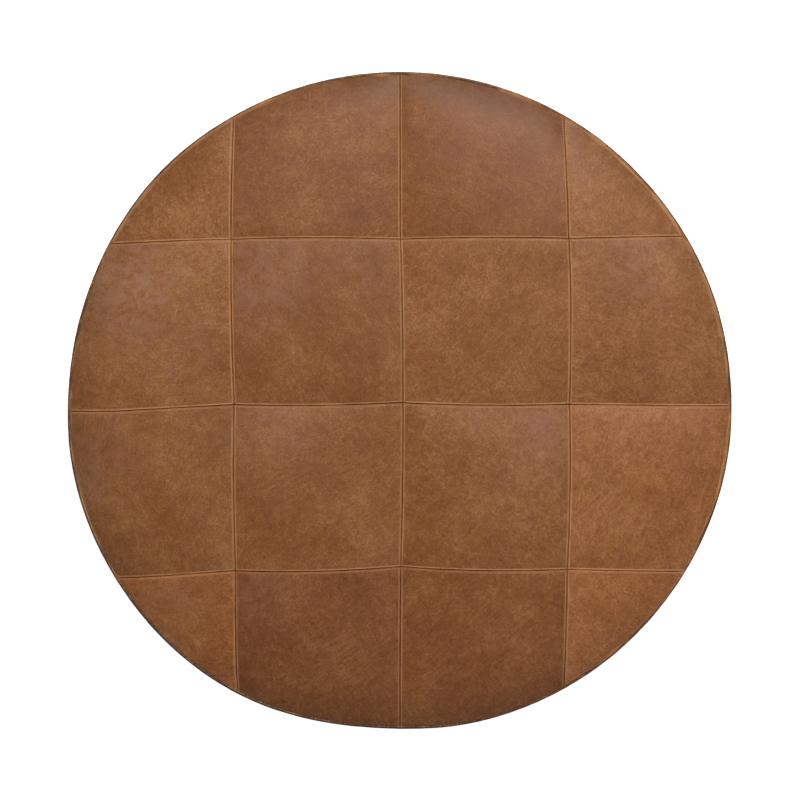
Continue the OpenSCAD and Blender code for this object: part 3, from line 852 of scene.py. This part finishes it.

# Painted shade on the leather by the rim, deeper in some places, with a little painted light near 345
# degrees: angle, brightness left there
RIM_SHADE = np.array((
    (15, 0.84), (45, 0.88), (75, 0.68), (105, 0.82), (135, 0.86), (165, 0.87),
    (195, 0.93), (225, 0.96), (255, 0.88), (285, 0.87), (315, 0.93), (345, 1.06),
)).T  # fmt: skip
RIM_SHADE_FROM, RIM_SHADE_TO = 435, 480

# How pale the edge by the piping is, partly wear and partly a painted highlight, and how dark the piping's
# outside is, as painted shade: angle, pale, dark
RIM_WEAR_HIGHLIGHT_SHADE = np.array((
    (15, 0.75, 0.0), (45, 1.0, 0.05), (75, 0.3, 0.0), (105, 0.4, 0.0), (135, 1.0, 0.1), (165, 0.1, 0.1),
    (195, 0.75, 0.25), (225, 0.0, 0.6), (255, 0.0, 0.68), (285, 0.0, 0.45), (315, 0.35, 0.2),
    (345, 0.5, 0.05),
)).T  # fmt: skip


def rim_shade(x, y):
    """Brightness of the leather near the rim, from 1 further in: painted shade."""
    left = np.interp(np.degrees(np.arctan2(y, x)), *RIM_SHADE, period=360)
    return 1 - (1 - left) * smooth(RIM_SHADE_FROM, RIM_SHADE_TO, np.hypot(x, y))


def rim_wear_highlight_shade(degrees):
    """How pale (partly wear, partly a painted highlight) and how dark (painted shade), from 0 to 1, with the
    paleness broken up along the rim.
    """
    pale, dark = (np.interp(degrees, RIM_WEAR_HIGHLIGHT_SHADE[0], level, period=360) for level in RIM_WEAR_HIGHLIGHT_SHADE[1:])
    broken = 0.35 * noise(degrees / 3.1, degrees * 0, 3) * (pale > 0.05)
    return np.clip(pale + broken, 0, 1), dark


def offsets(x, y, s, t):
    """Offsets in mm from a place in a patch, given from 0 to 1 from its front left corner."""
    return x - between(x.min(), x.max(), s), y - between(y.min(), y.max(), t)


def wrinkles(x, y, s, t, reach, turn, strength):
    dx, dy = offsets(x, y, s, t)
    c, d = math.cos(math.radians(turn)), math.sin(math.radians(turn))
    fade = strength * bell(np.hypot(dx, dy), reach)
    return np.stack([(dx * c + dy * d) * MM, (dy * c - dx * d) * MM, fade], -1)


def nearest_seam(x, y):
    return np.min([d for d, _, _ in seam_distances(x, y)], axis=0)


def build_patch(col, row):
    key = "dcba"[row] + str(col + 1)
    index = row * 4 + col
    x, y = patch_grid(col, row)
    z = top_height(x, y)
    near = nearest_seam(x, y)
    # The underside: the leather and its turned-in edges
    under = plain_top(np.hypot(x, y)) + lift(x, y) * 0.9 - 2.6 - 1.5 - 1.3 * smooth(9, 5, near)
    under = np.minimum(under, z - 0.7)
    bloom = np.zeros_like(x)
    for name, s, t, reach, strength in BLOOMS:
        if name == key:
            bloom += strength * bell(np.hypot(*offsets(x, y, s, t)), reach)
    # Where the rim is pale, a pale line runs along the patch edge by the piping: partly wear, partly a
    # painted highlight
    pale, _ = rim_wear_highlight_shade(np.degrees(np.arctan2(y, x)))
    from_rim = (TOP_EDGE_R - np.hypot(x, y)) * 0.5 + 1.5 + 2.4 * (1 - pale)
    attributes = leather_look(
        hide_place(x, y, (index * 67) % 360, index + 1),
        np.minimum(near, from_rim),
        *PATCH_TONES_AND_SHADE[key],
        shade=rim_shade(x, y),
        bloom=bloom,
        wrinkle=wrinkles(x, y, *WRINKLES.get(key, NO_WRINKLES)),
    )
    top, bottom = (round_off(np.stack([x, y, height], -1)) for height in (z, under))
    patch = slab(f"patch_{key}", f"top_patch_{key}", top, bottom, LEATHER_TOP, attributes)


for patch_row in range(4):
    for patch_col in range(4):
        build_patch(patch_col, patch_row)

# ---- Side panels ----

PANEL_TONES = (
    (0.98, 1.0), (1.04, 0.98), (0.95, 1.01), (1.0, 1.0), (0.93, 1.02), (1.05, 0.99),
    (0.97, 1.0), (1.02, 1.01), (0.94, 0.99), (1.0, 1.02), (1.06, 1.0), (0.96, 1.0),
)  # fmt: skip
OVER_ZIP = 6  # the first panels are over the zip, the others reach down to the base
FOOT_R = side_r((FOOT_Z + ZIP_LO) / 2)
LOW_ROWS, HIGH_ROWS = (0, 0.5, 1.2, 2.2, 3.4, 4.2, 5, 8, 12), (0, 0.6, 1.5, 3, 5, 8, 12)
FOOT_ROWS = (0, 0.5, 1.2, 2.4, 4, 6, 8, 9.6, 10.2, 10.6, 11.2, 12, 12.7, 13.3, ZIP_LO - FOOT_Z)


def side_surface(a, z, away, seam_id):
    """Radius of the leather side at an angle and height, with its seams and soft creases."""
    mm = round_mm(a)
    ends = np.minimum(z - 4, SIDE_TOP - z)
    soft = noise(mm / 70, z / 120, 41) * 1.3 + noise(mm / 26, z / 60, 42) * 0.4
    pleats = noise(mm / 15, z / 70, 43) * 0.8 * bell(ends, 24)
    seam_pull = noise(z / 17, away / 40, 50 + seam_id) * 0.7 * bell(away, 20) - 1.1 * bell(away, 12)
    quiet = smooth(0, 14, ends) * 0.8 + 0.2
    soft = soft * smooth(0, 50, ends) * smooth(0, 34, away)
    swell = (soft + seam_pull * smooth(0.2, 2, away)) * quiet + pleats * smooth(0, 5, ends)
    return side_r(z) + swell + seam_profile(away)


def from_seams(a):
    """Distance in mm round the side to the nearest seam, and that seam's number."""
    gaps = np.stack([np.abs((a - s + 180) % 360 - 180) for s in SEAM_A[:12]])
    return round_mm(gaps.min(0)), gaps.argmin(0)


def hem_profile(d):
    """Dips of a folded and stitched edge, by distance from it."""
    return -0.9 * bell(d, 0.6) - 0.4 * bell(d - HEM_STITCH, 0.6)


def foot_wave(a, z):
    return noise(round_mm(a) / 38, z / 9, 71) * 0.25


def build_panel(k):
    gap = round_degrees(HALF_GAP)
    a1, a2 = SEAM_A[k - 1] + gap, SEAM_A[k] - gap
    z1 = ZIP_HI if k <= OVER_ZIP else FOOT_Z
    width, high = math.radians(a2 - a1) * SIDE_R, SIDE_TOP - z1
    a = between(a1, a2, spaced(width, SEAM_ROWS, SEAM_ROWS, 6))
    z = between(z1, SIDE_TOP, spaced(high, LOW_ROWS, HIGH_ROWS, 6))
    a, z = np.meshgrid(a, z, indexing="ij")
    away, seam_id = from_seams(a)
    r = side_surface(a, z, away, seam_id)
    edge = away
    if k <= OVER_ZIP:
        # The edge over the zip is folded under and stitched
        r = r + hem_profile(z - ZIP_HI)
        edge = np.minimum(away, z - ZIP_HI + 0.8)
    hide = hide_place(round_mm(a), z, (k * 31) % 180 - 90, 20 + k)
    bloom = np.clip(noise(a / 9, z / 90, 60 + k) - 0.2, 0, 1)
    attributes = leather_look(hide, edge, *PANEL_TONES[k - 1], bloom=bloom)
    turned_in = (away < 8) & (z < SIDE_TOP - 9)
    under = np.minimum(side_r(z) - np.where(turned_in, 2.4, 1.3), r - 0.8)
    outside, inside = (round_off(polar(radius, a, z)) for radius in (r, under))
    name, node = f"panel_{k:02d}", f"side_panel_{k:02d}"
    panel = slab(name, node, outside, inside, LEATHER_SIDE, attributes)


def build_foot_strip(side, index, a1, a2):
    a, z = np.meshgrid(np.linspace(a1, a2, 400), FOOT_Z + np.array(FOOT_ROWS), indexing="ij")
    r = FOOT_R + foot_wave(a, z) + hem_profile(ZIP_LO - z) - 0.4 * bell(z - FOOT_Z, 1)
    attributes = leather_look(hide_place(round_mm(a), z, 4, 44 + index), ZIP_LO - z + 0.8, 0.97)
    under = FOOT_R - LEATHER - np.where(z > ZIP_LO - 5.5, 0.6, 0)
    outside, inside = polar(r, a, z), polar(under, a, z)
    strip = slab(f"foot_{side}", f"foot_strip_{side}", outside, inside, LEATHER_SIDE, attributes)


build_foot_strip("right", 0, SEAM_A[0] + 0.03, 89.97)
build_foot_strip("left", 1, 90.03, SEAM_A[OVER_ZIP] - 0.03)
for panel_number in range(1, 13):
    build_panel(panel_number)

# ---- Piping and cords ----


def build_piping(name, node, z, flange, seed):
    """The folded leather strip round its cord: a ring with its flange, slightly gathered."""
    a = np.linspace(0, 360, 900, endpoint=False)[:, None]
    turn = (np.arange(1, 20) * 18 + 180.0)[None, :]
    pucker = 1 + 0.05 * noise(a * 1.1, turn / 90, seed) + 0.03 * noise(a / 7, turn * 0, seed + 1)
    # The strip's ends overlap in one place
    girth = PIPING_R * pucker * (1 + 0.07 * bell((a - 97) * 8.6, 5))
    tail = np.broadcast_to(np.array(flange), (len(a), len(flange), 2))
    # The welt's inner side carries the flange that is sewn into the seam
    r = np.concatenate([WELT_R + girth * np.cos(np.radians(turn)), tail[..., 0]], 1)
    height = np.concatenate([z + girth * np.sin(np.radians(turn)), tail[..., 1]], 1)
    a = np.broadcast_to(a, r.shape)
    around = np.broadcast_to(np.arange(r.shape[1]) * 0.9, r.shape)
    # Pale along its inner crest in places, partly wear and partly a painted highlight, and dark outside as
    # painted shade, most at the front left
    lean = (np.arange(1, 20 + len(flange)) * 18 + 180) % 360
    crest = np.where(lean < 270, np.abs(lean - 122), 180)[None, :]
    pale, dark = rim_wear_highlight_shade(a)
    attributes = leather_look(
        hide_place(np.radians(a) * PIPING_ARC_R, around, 0, 50 + seed),
        2.0 + 1.5 * smooth(14, 40, crest) + 2.2 * (1 - pale) + 5 * smooth(45, 60, crest),
        shade=1 - dark * smooth(20, 60, crest),
    )
    ring_sweep(name, node, round_off(polar(r, a, height)), LEATHER_PIPING, attributes)


def build_cord(name, node, z):
    """Three-strand cotton cord inside a piping."""
    a = np.linspace(0, 360, 1560, endpoint=False)[:, None]
    t = np.radians(np.linspace(0, 360, 12, endpoint=False))[None, :]
    lobe = CORD_R * (0.9 + 0.1 * np.cos(3 * (t - np.radians(a) * PIPING_ARC_R / 2.2)))
    r, height = WELT_R + lobe * np.cos(t), z + lobe * np.sin(t)
    a = np.broadcast_to(a, r.shape)
    hide = hide_place(np.radians(a) * PIPING_ARC_R, np.broadcast_to(t * CORD_R, r.shape), 0, 60)
    ring_sweep(name, node, round_off(polar(r, a, height)), CORD, {"hide": hide}, sharp=80)


TOP_FLANGE = (
    (RIM_R - 1.9, RIM_Z + 0.8), (RIM_R - 3.0, RIM_Z - 1.5), (RIM_R - 3.0, RIM_Z - 12),
    (RIM_R - 1.8, RIM_Z - 12), (RIM_R - 1.8, RIM_Z - 2.8),
)  # fmt: skip
BASE_FLANGE = (
    (RIM_R - 1.7, FOOT_Z - 1), (RIM_R - 1.7, 14), (RIM_R - 2.9, 14), (RIM_R - 2.9, 2.2), (RIM_R - 1.4, 1.9),
)  # fmt: skip
build_piping("piping_top", "top_piping", RIM_Z, TOP_FLANGE, 1)
build_piping("piping_base", "base_piping", BASE_PIPING_Z, BASE_FLANGE, 2)
build_cord("cord_top", "top_piping_cord", RIM_Z)
build_cord("cord_base", "base_piping_cord", BASE_PIPING_Z)

# ---- Stitching ----

STITCH_PITCH, STITCH_LONG, THREAD_R = 4.1, 3.3, 0.3
THREAD_UP = 0.12  # of a stitch's middle above the leather
# Along a stitch: place, thickness and rise of its six rings
STITCH_SHAPE = np.array((
    (-0.5, 0.45, -0.5), (-0.43, 0.9, -0.12), (-0.2, 1.05, 0.1),
    (0.2, 1.05, 0.1), (0.43, 0.9, -0.12), (0.5, 0.45, -0.5),
)).T  # fmt: skip


def build_stitches(name, centre, along, out, body="pouf"):
    """Short runs of thread that dip into the leather at both ends, one at each centre."""
    centre, along, out = (np.asarray(v, float) for v in (centre, along, out))
    along = along / np.linalg.norm(along, axis=1, keepdims=True)
    across = np.cross(out, along)
    across /= np.linalg.norm(across, axis=1, keepdims=True)
    out = np.cross(along, across)
    # A slight slant and no two quite alike
    along = along + across * (0.09 + 0.05 * lattice(np.arange(len(centre)), 0, 3)[:, None])
    place, girth, rise = STITCH_SHAPE * np.array((STITCH_LONG, THREAD_R, 1))[:, None]
    t = np.radians(np.arange(6) * 60)
    sideways = girth[:, None] * np.cos(t)
    upward = rise[:, None] + girth[:, None] * np.sin(t)
    centre, along, across, out = (v[:, None, None] for v in (centre, along, across, out))
    points = centre + along * place[None, :, None, None]
    points = points + across * sideways[None, :, :, None] + out * upward[None, :, :, None]
    faces = copies(capped_tube(6, 6), len(centre), 36)
    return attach(make_object(name, points, faces, THREAD, sharp=80), body)


def slope_of(height, x, y, dx, dy, step):
    """Rise of a height over a short step each way."""
    ahead, behind = (height(x + k * step * dx, y + k * step * dy) for k in (1, -1))
    return (ahead - behind) / (2 * step)


def top_stitches(seam):
    """Two rows beside a top seam. Those of the cross seams run over the up seams."""
    up, k = seam < 3, seam % 3
    path = (lambda t: up_x(k, t)) if up else (lambda t: cross_y(k, t))
    centres = []
    for side in (-STITCH_OFF, STITCH_OFF):
        run = np.arange(-488, 488, STITCH_PITCH) + side
        other = path(run) + side
        x, y = (other, run) if up else (run, other)
        keep = np.hypot(x, y) < 489
        if up:
            keep &= np.min([np.abs(y - cross_y(c, x)) for c in range(3)], axis=0) > 2.2
        centres.append(np.stack([x[keep], y[keep]], -1))
    x, y = np.concatenate(centres).T
    run, zero, one = (y if up else x), np.zeros_like(x), np.ones_like(x)
    turn = (path(run + 1) - path(run - 1)) / 2
    if up:
        rise = slope_of(top_height, x, y, 0, 1, 1.6)
        along, out = np.stack([turn, one, rise], -1), np.stack([zero, -rise, one], -1)
    else:
        rise = slope_of(top_height, x, y, 1, 0, 1.6)
        along, out = np.stack([one, turn, rise], -1), np.stack([-rise, zero, one], -1)
    centre = round_off(np.stack([x, y, top_height(x, y) + THREAD_UP], -1))
    build_stitches(f"stitches_{'up' if up else 'cross'}_{k + 1}", centre, along, out)


def side_stitches(k):
    """Two rows beside a side seam."""
    over_zip = k <= OVER_ZIP
    z = np.arange((ZIP_HI if over_zip else FOOT_Z) + 3, SIDE_TOP - 3, STITCH_PITCH)
    a = SEAM_A[k] + round_degrees(np.repeat((-1, 1), len(z)) * STITCH_OFF)
    z = np.concatenate([z, z])
    r = side_surface(a, z, *from_seams(a)) + THREAD_UP
    if over_zip:
        r = r + hem_profile(z - ZIP_HI)
    up = np.tile((0.0, 0.0, 1.0), (len(z), 1))
    build_stitches(f"stitches_side_{k + 1:02d}", round_off(polar(r, a, z)), up, polar(1, a, 0))


def edge_stitches():
    """The rows that hold the leather's edges over and under the zip."""
    a = np.arange(SEAM_A[0] + 0.4, SEAM_A[OVER_ZIP] - 0.3, math.degrees(STITCH_PITCH / SIDE_R))
    away, seam_id = from_seams(a)
    over, under = ZIP_HI + HEM_STITCH, ZIP_LO - HEM_STITCH
    rows = (
        ("over", over, side_surface(a, a * 0 + over, away, seam_id) - 0.4 + THREAD_UP, away > 1.5),
        ("under", under, FOOT_R + foot_wave(a, under + a * 0) - 0.4 + THREAD_UP, np.abs(a - 90) > 0.2),
    )
    for name, z, r, keep in rows:
        at, turn = a[keep], np.radians(a[keep])
        along = np.stack([-np.sin(turn), np.cos(turn), turn * 0], -1)
        build_stitches(f"stitches_{name}_zip", polar(r[keep], at, z), along, polar(1, at, 0))


for seam_number in range(6):
    top_stitches(seam_number)
for seam_number in range(12):
    side_stitches(seam_number)
edge_stitches()

# ---- Zip ----

TAPE_R = (CHAIN_R - 0.4, CHAIN_R + 0.3)
CHAIN_GAP, TOOTH_PITCH, CHAIN_FROM = 0.5, 2.9, 1.85
ZIP_FROM = SEAM_A[0] - math.degrees(18 / 500)
ZIP_TO = SEAM_A[OVER_ZIP] + math.degrees(18 / 500)
# A tooth's levels from the middle of the chain: half its length along it, half its depth
TOOTH_LEVELS = np.array((
    (0.32, 0.42, 0.9), (0.5, 0.6, 1.12), (1.15, 0.64, 1.2),
    (1.5, 0.98, 1.5), (3.3, 0.98, 1.5), (3.6, 0.8, 1.3),
))  # fmt: skip
TOOTH_CORNERS = np.array((
    (1, 0.55), (0.7, 1), (-0.7, 1), (-1, 0.55), (-1, -0.55), (-0.7, -1), (0.7, -1), (1, -0.55),
))  # fmt: skip
METAL = ("zip_slider", "zip_pull", "zip_top_stop_upper", "zip_top_stop_lower", "zip_bottom_stop")


def build_tape(name, z1, z2):
    a, z = np.meshgrid(np.linspace(ZIP_FROM, ZIP_TO, 420), np.linspace(z1, z2, 9), indexing="ij")
    ripple = noise(a * 2.1, z / 7, 75) * 0.08
    hide = {"hide": hide_place(np.radians(a) * TAPE_ARC_R, z, 0, 72)}
    outside, inside = (polar(r + ripple, a, z) for r in TAPE_R[::-1])
    tape = slab(f"tape_{name}", f"zip_tape_{name}", outside, inside, TAPE, hide)


def build_teeth(name, sign, offset):
    """A row of stamped teeth clamped on its tape, half a pitch from the other row."""
    pitch = math.degrees(TOOTH_PITCH / CHAIN_R)
    first, last = CHAIN_FROM + pitch * 0.4, ZIP_OPEN_AT - 0.25 - pitch * 0.4
    a = np.arange(first + offset * pitch, last, pitch)[:, None, None]
    level, half, deep = TOOTH_LEVELS.T[:, None, :, None]
    points = polar(
        CHAIN_R + TOOTH_CORNERS[:, 1] * deep,
        a + np.degrees(TOOTH_CORNERS[:, 0] * half / CHAIN_R),
        ZIP_Z + sign * level,
    )
    count, rings, around = points.shape[:3]
    faces = copies(capped_tube(rings, around, flip=sign > 0), count, rings * around)
    make_object(f"teeth_{name}", points, faces, BRASS, sharp=40, node=f"zip_teeth_{name}")


def finish_metal(obj):
    """A brass piece keeps its CAD shape, with its edges eased."""
    if not obj.material_slots:
        obj.data.materials.append(BRASS)
    for material_slot in obj.material_slots:
        material_slot.material = BRASS
    obj.modifiers.new("weld", "WELD").merge_threshold = 1e-6
    bevel = obj.modifiers.new("ease", "BEVEL")
    bevel.width, bevel.segments, bevel.limit_method = 0.16 * MM, 2, "ANGLE"
    bevel.angle_limit = math.radians(35)
    bevel.harden_normals = True


# The thong, with the slider along x: half its line from the open ends to the fold, and half its section
THONG_LINE = (
    (52, 0.68), (46, 0.62), (38, 0.62), (31, 0.66), (28, 0.95), (25.6, 1.35), (23.6, 1.42), (22, 1.4),
    (20.9, 1.15), (20.5, 0.5),
)  # fmt: skip
THONG_SECTION = (
    (2.4, 0), (2.36, 0.3), (2.15, 0.46), (1.2, 0.5), (0, 0.5), (-1.2, 0.5), (-2.15, 0.46), (-2.36, 0.3),
)  # fmt: skip
THONG_R = CHAIN_R + 4.25


def at_slider(out, along, z):
    """A point given from the middle of the thong: out from the pouf, and round it."""
    a = math.radians(SLIDER_AT)
    x, y = THONG_R + out, along
    return np.stack([x * math.cos(a) - y * math.sin(a), x * math.sin(a) + y * math.cos(a), z], -1)


def build_thong():
    """A leather lace folded through the slot of the pull, its two layers stitched together."""
    line = np.array(THONG_LINE + tuple((y, -r) for y, r in THONG_LINE[::-1]))
    far = lengths_along(line)
    at = np.linspace(0, far[-1], 90)
    y, r = np.interp(at, far, line[:, 0]), np.interp(at, far, line[:, 1])
    for _ in range(2):
        for v in (y, r):
            v[1:-1] = (v[:-2] + 2 * v[1:-1] + v[2:]) / 4
    ty, tr = np.gradient(y), np.gradient(r)
    size = np.hypot(ty, tr)
    w, h = np.array(THONG_SECTION + tuple((-w, -h) for w, h in THONG_SECTION)).T
    h = h * (1 + 0.04 * noise(at[:, None] / 5, w[None, :] / 2, 91))
    local_y, local_r = y[:, None] - (tr / size)[:, None] * h, r[:, None] + (ty / size)[:, None] * h
    z = np.broadcast_to(ZIP_Z + w, local_y.shape)
    hide = hide_place(np.broadcast_to(at[:, None], z.shape), z, 8, 77)
    attributes = leather_look(hide, 2.7 - np.abs(w) + 0.9, 1.05)
    rings = at_slider(local_r, local_y, z)
    ring_sweep("thong", "pull_thong", rings, LEATHER_PIPING, attributes, False, body="zip_pull")
    y, w = np.meshgrid((30.5, 49), (-1.5, -0.5, 0.5, 1.5), indexing="ij")
    centre = at_slider(1.3, y.ravel(), ZIP_Z + w.ravel())
    a = SLIDER_AT + y.ravel() * 0
    build_stitches("stitches_thong", centre, polar(1, a + 90, 0), polar(1, a, 0), "zip_pull")


TAB_HALF, TAB_HIGH, TAB_T, TAB_STITCHES = 15.0, 12.5, 1.3, 0.81


def tab_place(a0, s, t):
    """A point on the inner face of an end tab: s and t from -1 to 1 across it, with rounded corners."""
    reach = np.maximum(np.abs(s), np.abs(t))
    angle = np.arctan2(t, s)
    power = (np.abs(np.cos(angle)) ** 7 + np.abs(np.sin(angle)) ** 7) ** (-1 / 7)
    u, v = reach * np.cos(angle) * power, reach * np.sin(angle) * power
    high = ZIP_HI - ZIP_LO + 9
    z = (ZIP_LO + ZIP_HI + 1) / 2 + v * high / 2
    r = between(side_r(ZIP_LO - 7) + 0.45, side_r(ZIP_HI + 5) + 0.3, (z - ZIP_LO + 4) / high)
    return r, a0 + round_degrees(u * TAB_HALF), z


def build_end_tab(side, a0):
    line = np.sin(np.radians(np.linspace(-90, 90, 27)))
    s, t = np.meshgrid(line, line, indexing="ij")
    r, a, z = tab_place(a0, s, t)
    edge = (1 - np.maximum(np.abs(s), np.abs(t))) * TAB_HIGH
    puff = TAB_T * (0.55 + 0.45 * smooth(0, 1.2, edge)) - 0.25 * bell(edge - 2.3, 0.6)
    puff = puff + 0.12 * noise(s * 4, t * 4, 83)
    hide = hide_place(s * TAB_HALF, t * TAB_HIGH, 25, 80)
    attributes = leather_look(hide, edge + 0.8, 0.95, 1.01)
    outside, inside = polar(r + puff, a, z), polar(r, a, z)
    slab(f"tab_{side}", f"zip_end_tab_{side}", outside, inside, LEATHER_SIDE, attributes)
    # One row of stitches round the edge
    turn = np.radians(np.linspace(0, 360, 720, endpoint=False))
    way = np.stack([np.cos(turn), np.sin(turn)])
    r, a, z = tab_place(a0, *(way / np.abs(way).max(0) * TAB_STITCHES))
    loop = polar(r + TAB_T - 0.05, a, z)
    loop = np.concatenate([loop, loop[:1]])
    far = lengths_along(loop)
    at = np.linspace(0, far[-1], int(far[-1] / 3.9) + 1)[:-1]
    on_loop = lambda place: np.stack([np.interp(place % far[-1], far, v) for v in loop.T], -1)
    centre = on_loop(at)
    angle = np.degrees(np.arctan2(centre[:, 1], centre[:, 0]))
    build_stitches(f"stitches_tab_{side}", centre, on_loop(at + 0.5) - centre, polar(1, angle, 0))


build_tape("upper", ZIP_Z + CHAIN_GAP + 1.3, ZIP_Z + 24)
build_tape("lower", ZIP_Z - 13.6, ZIP_Z - CHAIN_GAP - 1.3)
build_teeth("upper", 1, 0.0)
build_teeth("lower", -1, 0.5)
for metal_node in METAL:
    finish_metal(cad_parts[metal_node])
build_thong()
build_end_tab("right", SEAM_A[0])
build_end_tab("left", SEAM_A[OVER_ZIP])

# ---- Base, inner case and filling ----

OUTLINE_STEP = 12.0


def resample(profile, step):
    """A closed outline with points no more than a step apart."""
    points = []
    for p, q in zip(profile, profile[1:] + profile[:1]):
        count = max(1, int(math.dist(p, q) / step))
        points += [(between(p[0], q[0], i / count), between(p[1], q[1], i / count)) for i in range(count)]
    return np.array(points)


def build_lathed(name, node, profile, material, rough=0.0, grain=20.0, around=240, seed=0, relief=None):
    """Turns an outline of (radius, height) round the axis, uneven by rough mm.

    relief(x, y, z) returns heights to add.
    """
    outline = resample(profile, OUTLINE_STEP)
    a = np.linspace(0, 360, around, endpoint=False)[:, None]
    r, z = outline[None, :, 0], outline[None, :, 1]
    x, y, height = np.moveaxis(polar(r, a, z), -1, 0)
    uneven = noise((x + height * 0.7) / grain, (y + height * 0.6) / grain, seed) * rough
    out = 1 + uneven / 500 * smooth(10, 200, r)
    height = height + uneven * (r < 470)
    if relief is not None:
        height = height + relief(x, y, height)
    points = np.stack([x * out, y * out, height], -1)
    side = np.abs(r) > 480
    hide = np.stack([np.where(side, np.radians(a) * 490, x), np.where(side, z, y), z + 0 * x], -1) * MM
    piece = ring_sweep(name, node, round_off(points), material, {"hide": hide})
    # Join the points on the axis, which a turned outline repeats
    work = bmesh.new()
    work.from_mesh(piece.data)
    bmesh.ops.remove_doubles(work, verts=work.verts, dist=1e-7)
    work.to_mesh(piece.data)
    work.free()
    return piece


def outline_of(r, z):
    return [(float(u), float(v)) for u, v in zip(r, z)]


def layer(r1, depth, thick, count=40):
    """Outline of a layer under the top."""
    r = r1 * (1 - (1 - np.linspace(0, 1, count)) ** 1.6)
    z = plain_top(r) - depth
    return outline_of(r, z) + outline_of(r, z - thick)[::-1]


def past_zip(z):
    """How far the inside stands in to pass the zip."""
    return 3.6 * np.clip((70 - z) / 26, 0, 1)


def upright(z1, z2, depth, thick):
    """Outline of a layer inside the side."""
    z = np.concatenate([[z1], np.arange(24, z2 - 5, 12), [z2]])
    r = side_r(z) - depth - past_zip(z)
    return outline_of(r - thick, z) + outline_of(r, z)[::-1]


def quilt_relief(x, y, z):
    """The quilting wadding swells under each patch and is pinched flat at the seams."""
    near = nearest_seam(x, y)
    rise = 0.9 * lift(x, y) - 1.5 - 3.0 * (1 - smooth(4, 16, near))
    for cx, cy in CROSSINGS:
        rise = rise - 1.3 * bell(np.hypot(x - cx, y - cy), 14)
    upper = z > plain_top(np.hypot(x, y)) - 5
    return np.where(upper, np.maximum(rise, -3.4), 0)


def base_relief(x, y, z):
    """The canvas isn't quite flat."""
    wave = 0.25 * (1 + noise(x / 60, y / 60, 88)) * smooth(488, 460, np.hypot(x, y))
    return np.where(z < 1, wave, 0)


def build_inside():
    quilt_top, quilt_t, cloth_t, wrap_t, gap = LEATHER + 1.5, 4.0, 0.6, 10.0, 0.3
    under_quilt = quilt_top + quilt_t + gap
    liner = under_quilt + cloth_t + gap
    wrap = liner + cloth_t + gap
    foam_depth = wrap + wrap_t + gap
    split = POUF_H - foam_depth - 60
    block = 4 + cloth_t + wrap_t + 2 * gap
    foot, tray_r, disc_r = 2.7, RIM_R - 3.3, RIM_R - 6.6

    quilt_outline = layer(RIM_R - 8.6, quilt_top, quilt_t, 70)
    case_outline = upright(foot, SIDE_TOP - 2.5, 4, cloth_t)
    disc = [(0.0, 1.8), (RIM_R - 7.6, 1.8), (RIM_R - 7.6, 1.8 + cloth_t), (0.0, 1.8 + cloth_t)]
    wrap_cover = layer(RIM_R - 6.8, wrap + 0.3, wrap_t - 0.6)
    wrap_wall = upright(foot, SIDE_TOP - 13.5, block - gap - wrap_t + 0.3, wrap_t - 0.6)
    dome = [p for p in layer(RIM_R - 18, foam_depth, 0.1)[:40] if p[1] > split + 32]
    soft_z = np.array((split, split + 30))
    soft = [(0.0, split + gap)] + outline_of(side_r(soft_z) - block, soft_z + (gap, 0)) + dome[::-1]
    z = np.concatenate([[foot], np.arange(24, split - 5, 24), [split]])
    firm = [(0.0, foot)] + outline_of(side_r(z) - block - past_zip(z), z) + [(0.0, split)]

    quilt = build_lathed("quilt_fill", "quilt_wadding", quilt_outline, FIBRE, around=420, relief=quilt_relief)
    backing = build_lathed("backing", "quilt_backing", layer(disc_r, under_quilt, cloth_t), CALICO)
    case_top = build_lathed("case_top", "liner_top", layer(disc_r, liner, cloth_t), CALICO)
    case_side = build_lathed("case_side", "liner_side", case_outline, CALICO)
    case_base = build_lathed("case_base", "liner_base", disc, CALICO)
    wrap_top = build_lathed("wrap_top", "wadding_top", wrap_cover, FIBRE, 0.25, 30, seed=5)
    wrap_side = build_lathed("wrap_side", "wadding_side", wrap_wall, FIBRE, 0.25, 30, seed=6)
    foam_top = build_lathed("foam_top_pad", "foam_top", soft, FOAM_SOFT, 0.1, 60)
    core = build_lathed("foam_block", "foam_core", firm, FOAM_FIRM, 0.1, 60)

    edge_z, tray_in = 12.0, tray_r - 1.2
    tray = [(0.0, 0.0), (tray_r, 0.0), (tray_r, edge_z), (tray_in, edge_z), (tray_in, 1.5), (0.0, 1.5)]
    base = build_lathed("base_cloth", "base_panel", tray, CANVAS, relief=base_relief)


build_inside()
